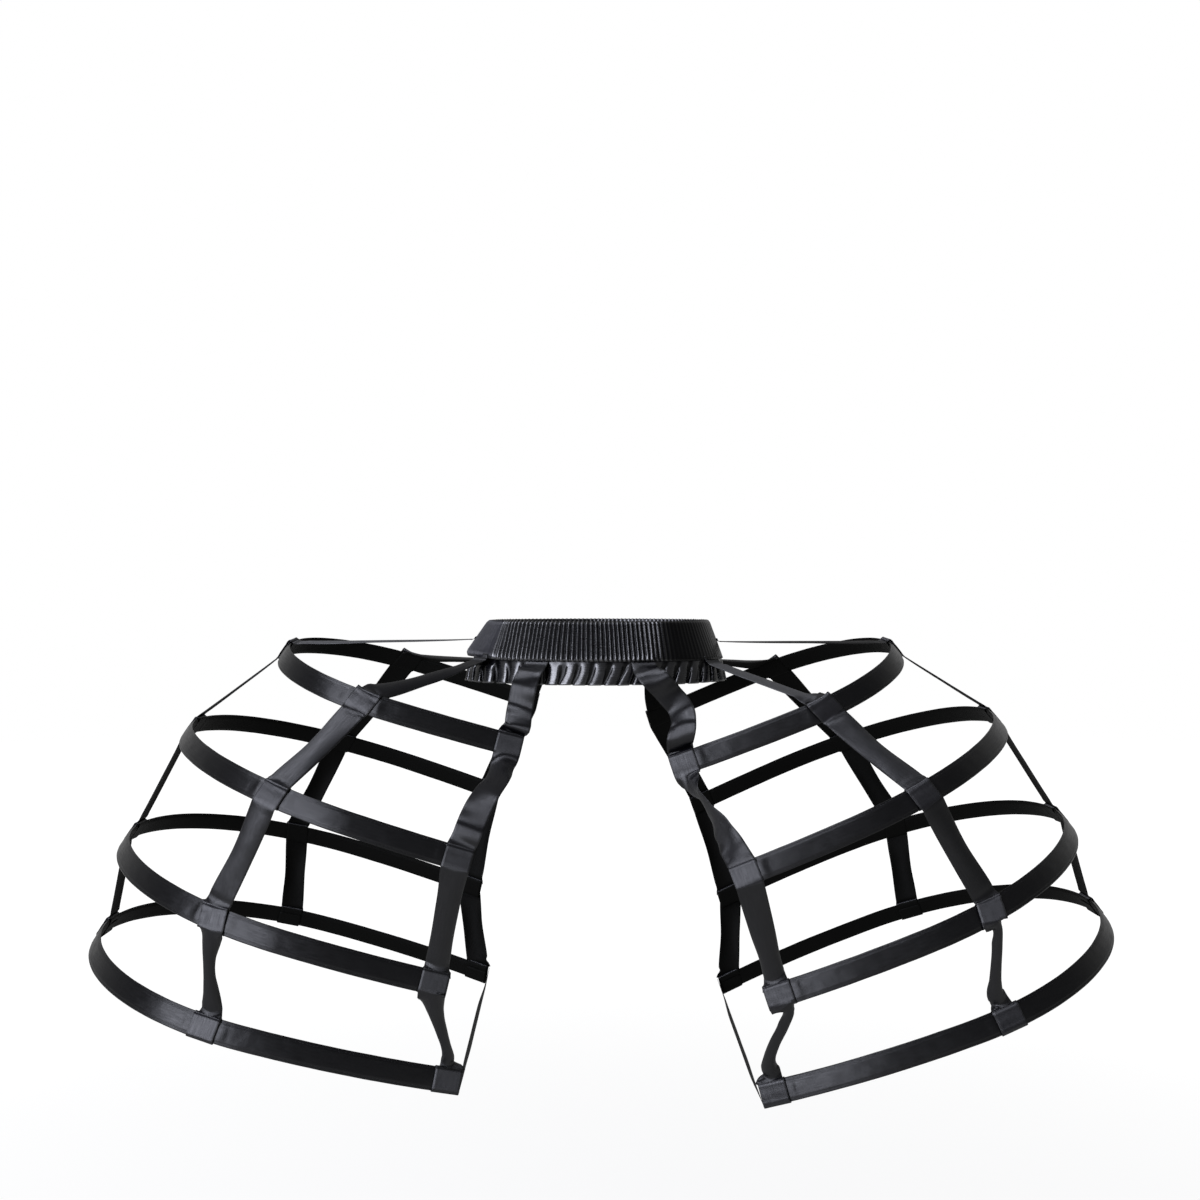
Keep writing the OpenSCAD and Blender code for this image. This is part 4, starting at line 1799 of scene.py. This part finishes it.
@dataclass
class Studio:
    """A pale floor, soft lamps, a white surround and the camera, all in metres."""

    white: str = "#ffffff"
    floor_z: float = -1.0
    floor_r: float = 9.0
    floor_sides: int = 96
    paper: float = 0.9
    paper_white: float = 0.76
    paper_glow: float = 1.08
    burnt_from: float = 1.2
    burnt_out: float = 3.0
    bounce: float = 0.2
    ambient: float = 0.24
    mirrored: float = 0.4
    room_dark: float = 0.25
    room_turn: tuple[float, float] = (-0.2, 0.8)
    lamps: tuple[Lamp, ...] = (
        Lamp("key_softbox", (-1.4, -1.86, 0.3), (1.8, 1.4), 0.95),
        Lamp("overhead_softbox", (-0.7, -0.42, 1.7), (0.9, 0.9), 0.5),
    )
    lamps_aim_z: float = -0.25
    camera_at: tuple[float, float, float] = (-0.0205, -1.2999, 0.04)
    camera_yaw: float = 0.82
    focal_px: float = 1261.0
    centre_px: float = 597.0
    image_px: float = 1200.0
    sensor: float = 36.0

    def background_share(self, tree: bpy.types.NodeTree) -> tuple[bpy.types.NodeSocket, bpy.types.Node]:
        """Adds the nodes that tell a ray of the background from a ray of light.

        Args:
            tree: The node tree.

        Returns:
            A share of the background's white, which is 1 for rays from the camera, less for mirrored or clear
            ones and else 0, and the node that knows each ray.
        """
        ray = add_node(tree, "LightPath")
        either = {0: ray.outputs["Is Glossy Ray"], 1: ray.outputs["Is Transmission Ray"]}
        mirrored = add_node(tree, "Math", either, operation="MAXIMUM")
        dimmed = add_node(tree, "Math", {0: mirrored.outputs[0], 1: self.mirrored}, operation="MULTIPLY")
        any_seen = {0: ray.outputs["Is Camera Ray"], 1: dimmed.outputs[0]}
        return add_node(tree, "Math", any_seen, operation="MAXIMUM").outputs[0], ray

    def build_floor(self) -> None:
        """Lays the floor, which is white paper that keeps the cage's shadow."""
        mesh = bmesh.new()
        bmesh.ops.create_circle(mesh, cap_ends=True, radius=self.floor_r, segments=self.floor_sides)
        bmesh.ops.translate(mesh, vec=(0.0, 0.0, self.floor_z), verts=mesh.verts)
        floor = put_mesh("floor", mesh)
        paper = bpy.data.materials.new("white_paper")
        paper.use_nodes = True
        tree = paper.node_tree
        tree.nodes.clear()
        seen, ray = self.background_share(tree)
        # Away from the cage the paper burns out to the white of the surround
        place = add_node(tree, "TexCoord")
        away = add_node(tree, "VectorMath", {0: place.outputs["Object"]}, operation="LENGTH")
        burnt = add_node(
            tree, "MapRange",
            {"Value": away.outputs["Value"], "From Min": self.burnt_from, "From Max": self.burnt_out,
             "To Min": self.paper_white, "To Max": 1.0},
        )
        share = add_node(tree, "Math", {0: seen, 1: burnt.outputs[0]}, operation="MULTIPLY")
        # The paper throws little light back up, as under a cage that stands clear of it
        pale = add_node(
            tree, "MapRange",
            {"Value": ray.outputs["Is Camera Ray"], "To Min": self.bounce, "To Max": self.paper},
        )
        matte = add_node(tree, "BsdfDiffuse", {"Color": pale.outputs[0]})
        glow = add_node(tree, "Emission", {"Color": linear(self.white), "Strength": self.paper_glow})
        mixed = add_node(tree, "MixShader", {0: share.outputs[0], 1: matte.outputs[0], 2: glow.outputs[0]})
        add_node(tree, "OutputMaterial", {"Surface": mixed.outputs[0]})
        floor.data.materials.append(paper)
        floor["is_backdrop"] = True

    def build_world(self) -> None:
        """Sets the surround: white to the camera, and a dim room, lighter behind, for the satin to mirror."""
        world = bpy.data.worlds.new("surround")
        world.use_nodes = True
        tree = world.node_tree
        seen, ray = self.background_share(tree)
        way = add_node(tree, "TexCoord")
        split = add_node(tree, "SeparateXYZ", {0: way.outputs["Generated"]})
        front, behind = self.room_turn
        room = add_node(
            tree, "MapRange",
            {"Value": split.outputs["Y"], "From Min": front, "From Max": behind, "To Min": self.room_dark,
             "To Max": 1.0},
        )
        lit = {0: room.outputs[0], 1: ray.outputs["Is Camera Ray"]}
        wall = add_node(tree, "Math", lit, operation="MAXIMUM")
        mirrored = add_node(tree, "Math", {0: wall.outputs[0], 1: seen}, operation="MULTIPLY")
        spread = {0: ray.outputs["Is Diffuse Ray"], 1: self.ambient}
        soft = add_node(tree, "Math", spread, operation="MULTIPLY")
        level = add_node(tree, "Math", {0: mirrored.outputs[0], 1: soft.outputs[0]}, operation="MAXIMUM")
        feed(tree, tree.nodes["Background"], {"Color": linear(self.white), "Strength": level.outputs[0]})
        bpy.context.scene.world = world

    def build_camera(self) -> None:
        """Sets the camera at the photograph's viewing angle."""
        eye = bpy.data.cameras.new("camera")
        eye.sensor_width = self.sensor
        eye.lens = self.sensor * self.focal_px / self.image_px
        eye.shift_x = (self.image_px / 2 - self.centre_px) / self.image_px
        holder = put_in_scene("camera", eye)
        holder.location = self.camera_at
        holder.rotation_euler = (math.radians(90), 0.0, math.radians(-self.camera_yaw))
        bpy.context.scene.camera = holder

    def build(self) -> None:
        """Builds the whole studio."""
        self.build_camera()
        self.build_floor()
        self.build_world()
        for lamp in self.lamps:
            lamp.hang(Vector((0.0, 0.0, self.lamps_aim_z)))
        bpy.context.scene.view_settings.view_transform = "Standard"


def dress_hidden_nodes() -> None:
    """Gives the bones and the elastic, which stay as the frame has them, their own materials."""
    boning, elastic = Boning().material(), WovenElastic().material()
    for name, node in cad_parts.items():
        if name.endswith("_bone") or name == "waistband_elastic":
            node.data.materials.clear()
            node.data.materials.append(boning if name.endswith("_bone") else elastic)
            LOG.info("%s: kept, new finish", name)


def write_sizes() -> None:
    """Works out the frame's box and the dressed cage's box, and writes neither."""
    lists = [[list(corner) for corner in box] for box in (CAD_BOX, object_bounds())]


def main() -> None:
    """Builds the studio and dresses the cage, piece by piece."""
    logging.basicConfig(level=logging.INFO, format="%(name)s %(message)s")
    Studio().build()
    back = SatinBack().material()
    casing, strap, wrap, gathered, panel = (
        finish.material() for finish in (CASING_SATIN, STRAP_SATIN, WRAP_SATIN_LIT, GATHERED_SATIN, PANEL_SATIN_LIT)
    )
    WaistbandCasing().build((gathered, panel, back))
    WaistFrill().build((gathered, back))
    for side in Side:
        for hoop in HOOPS:
            HoopCasing(side, hoop).build((casing, back))
        for place in Place:
            # The left inner strap's patches and wraps get the darker strap satin instead of the lighter wrap
            # satin, as painted shade
            patch = strap if (side, place) == (Side.LEFT, Place.FRONT_INNER) else wrap
            Strap(side, place).build((strap, patch, back))
            WrapSet(side, place).build((patch, back))
        InnerTie(side).build((strap, back))
    dress_hidden_nodes()
    write_sizes()


if __name__ == "__main__":
    main()
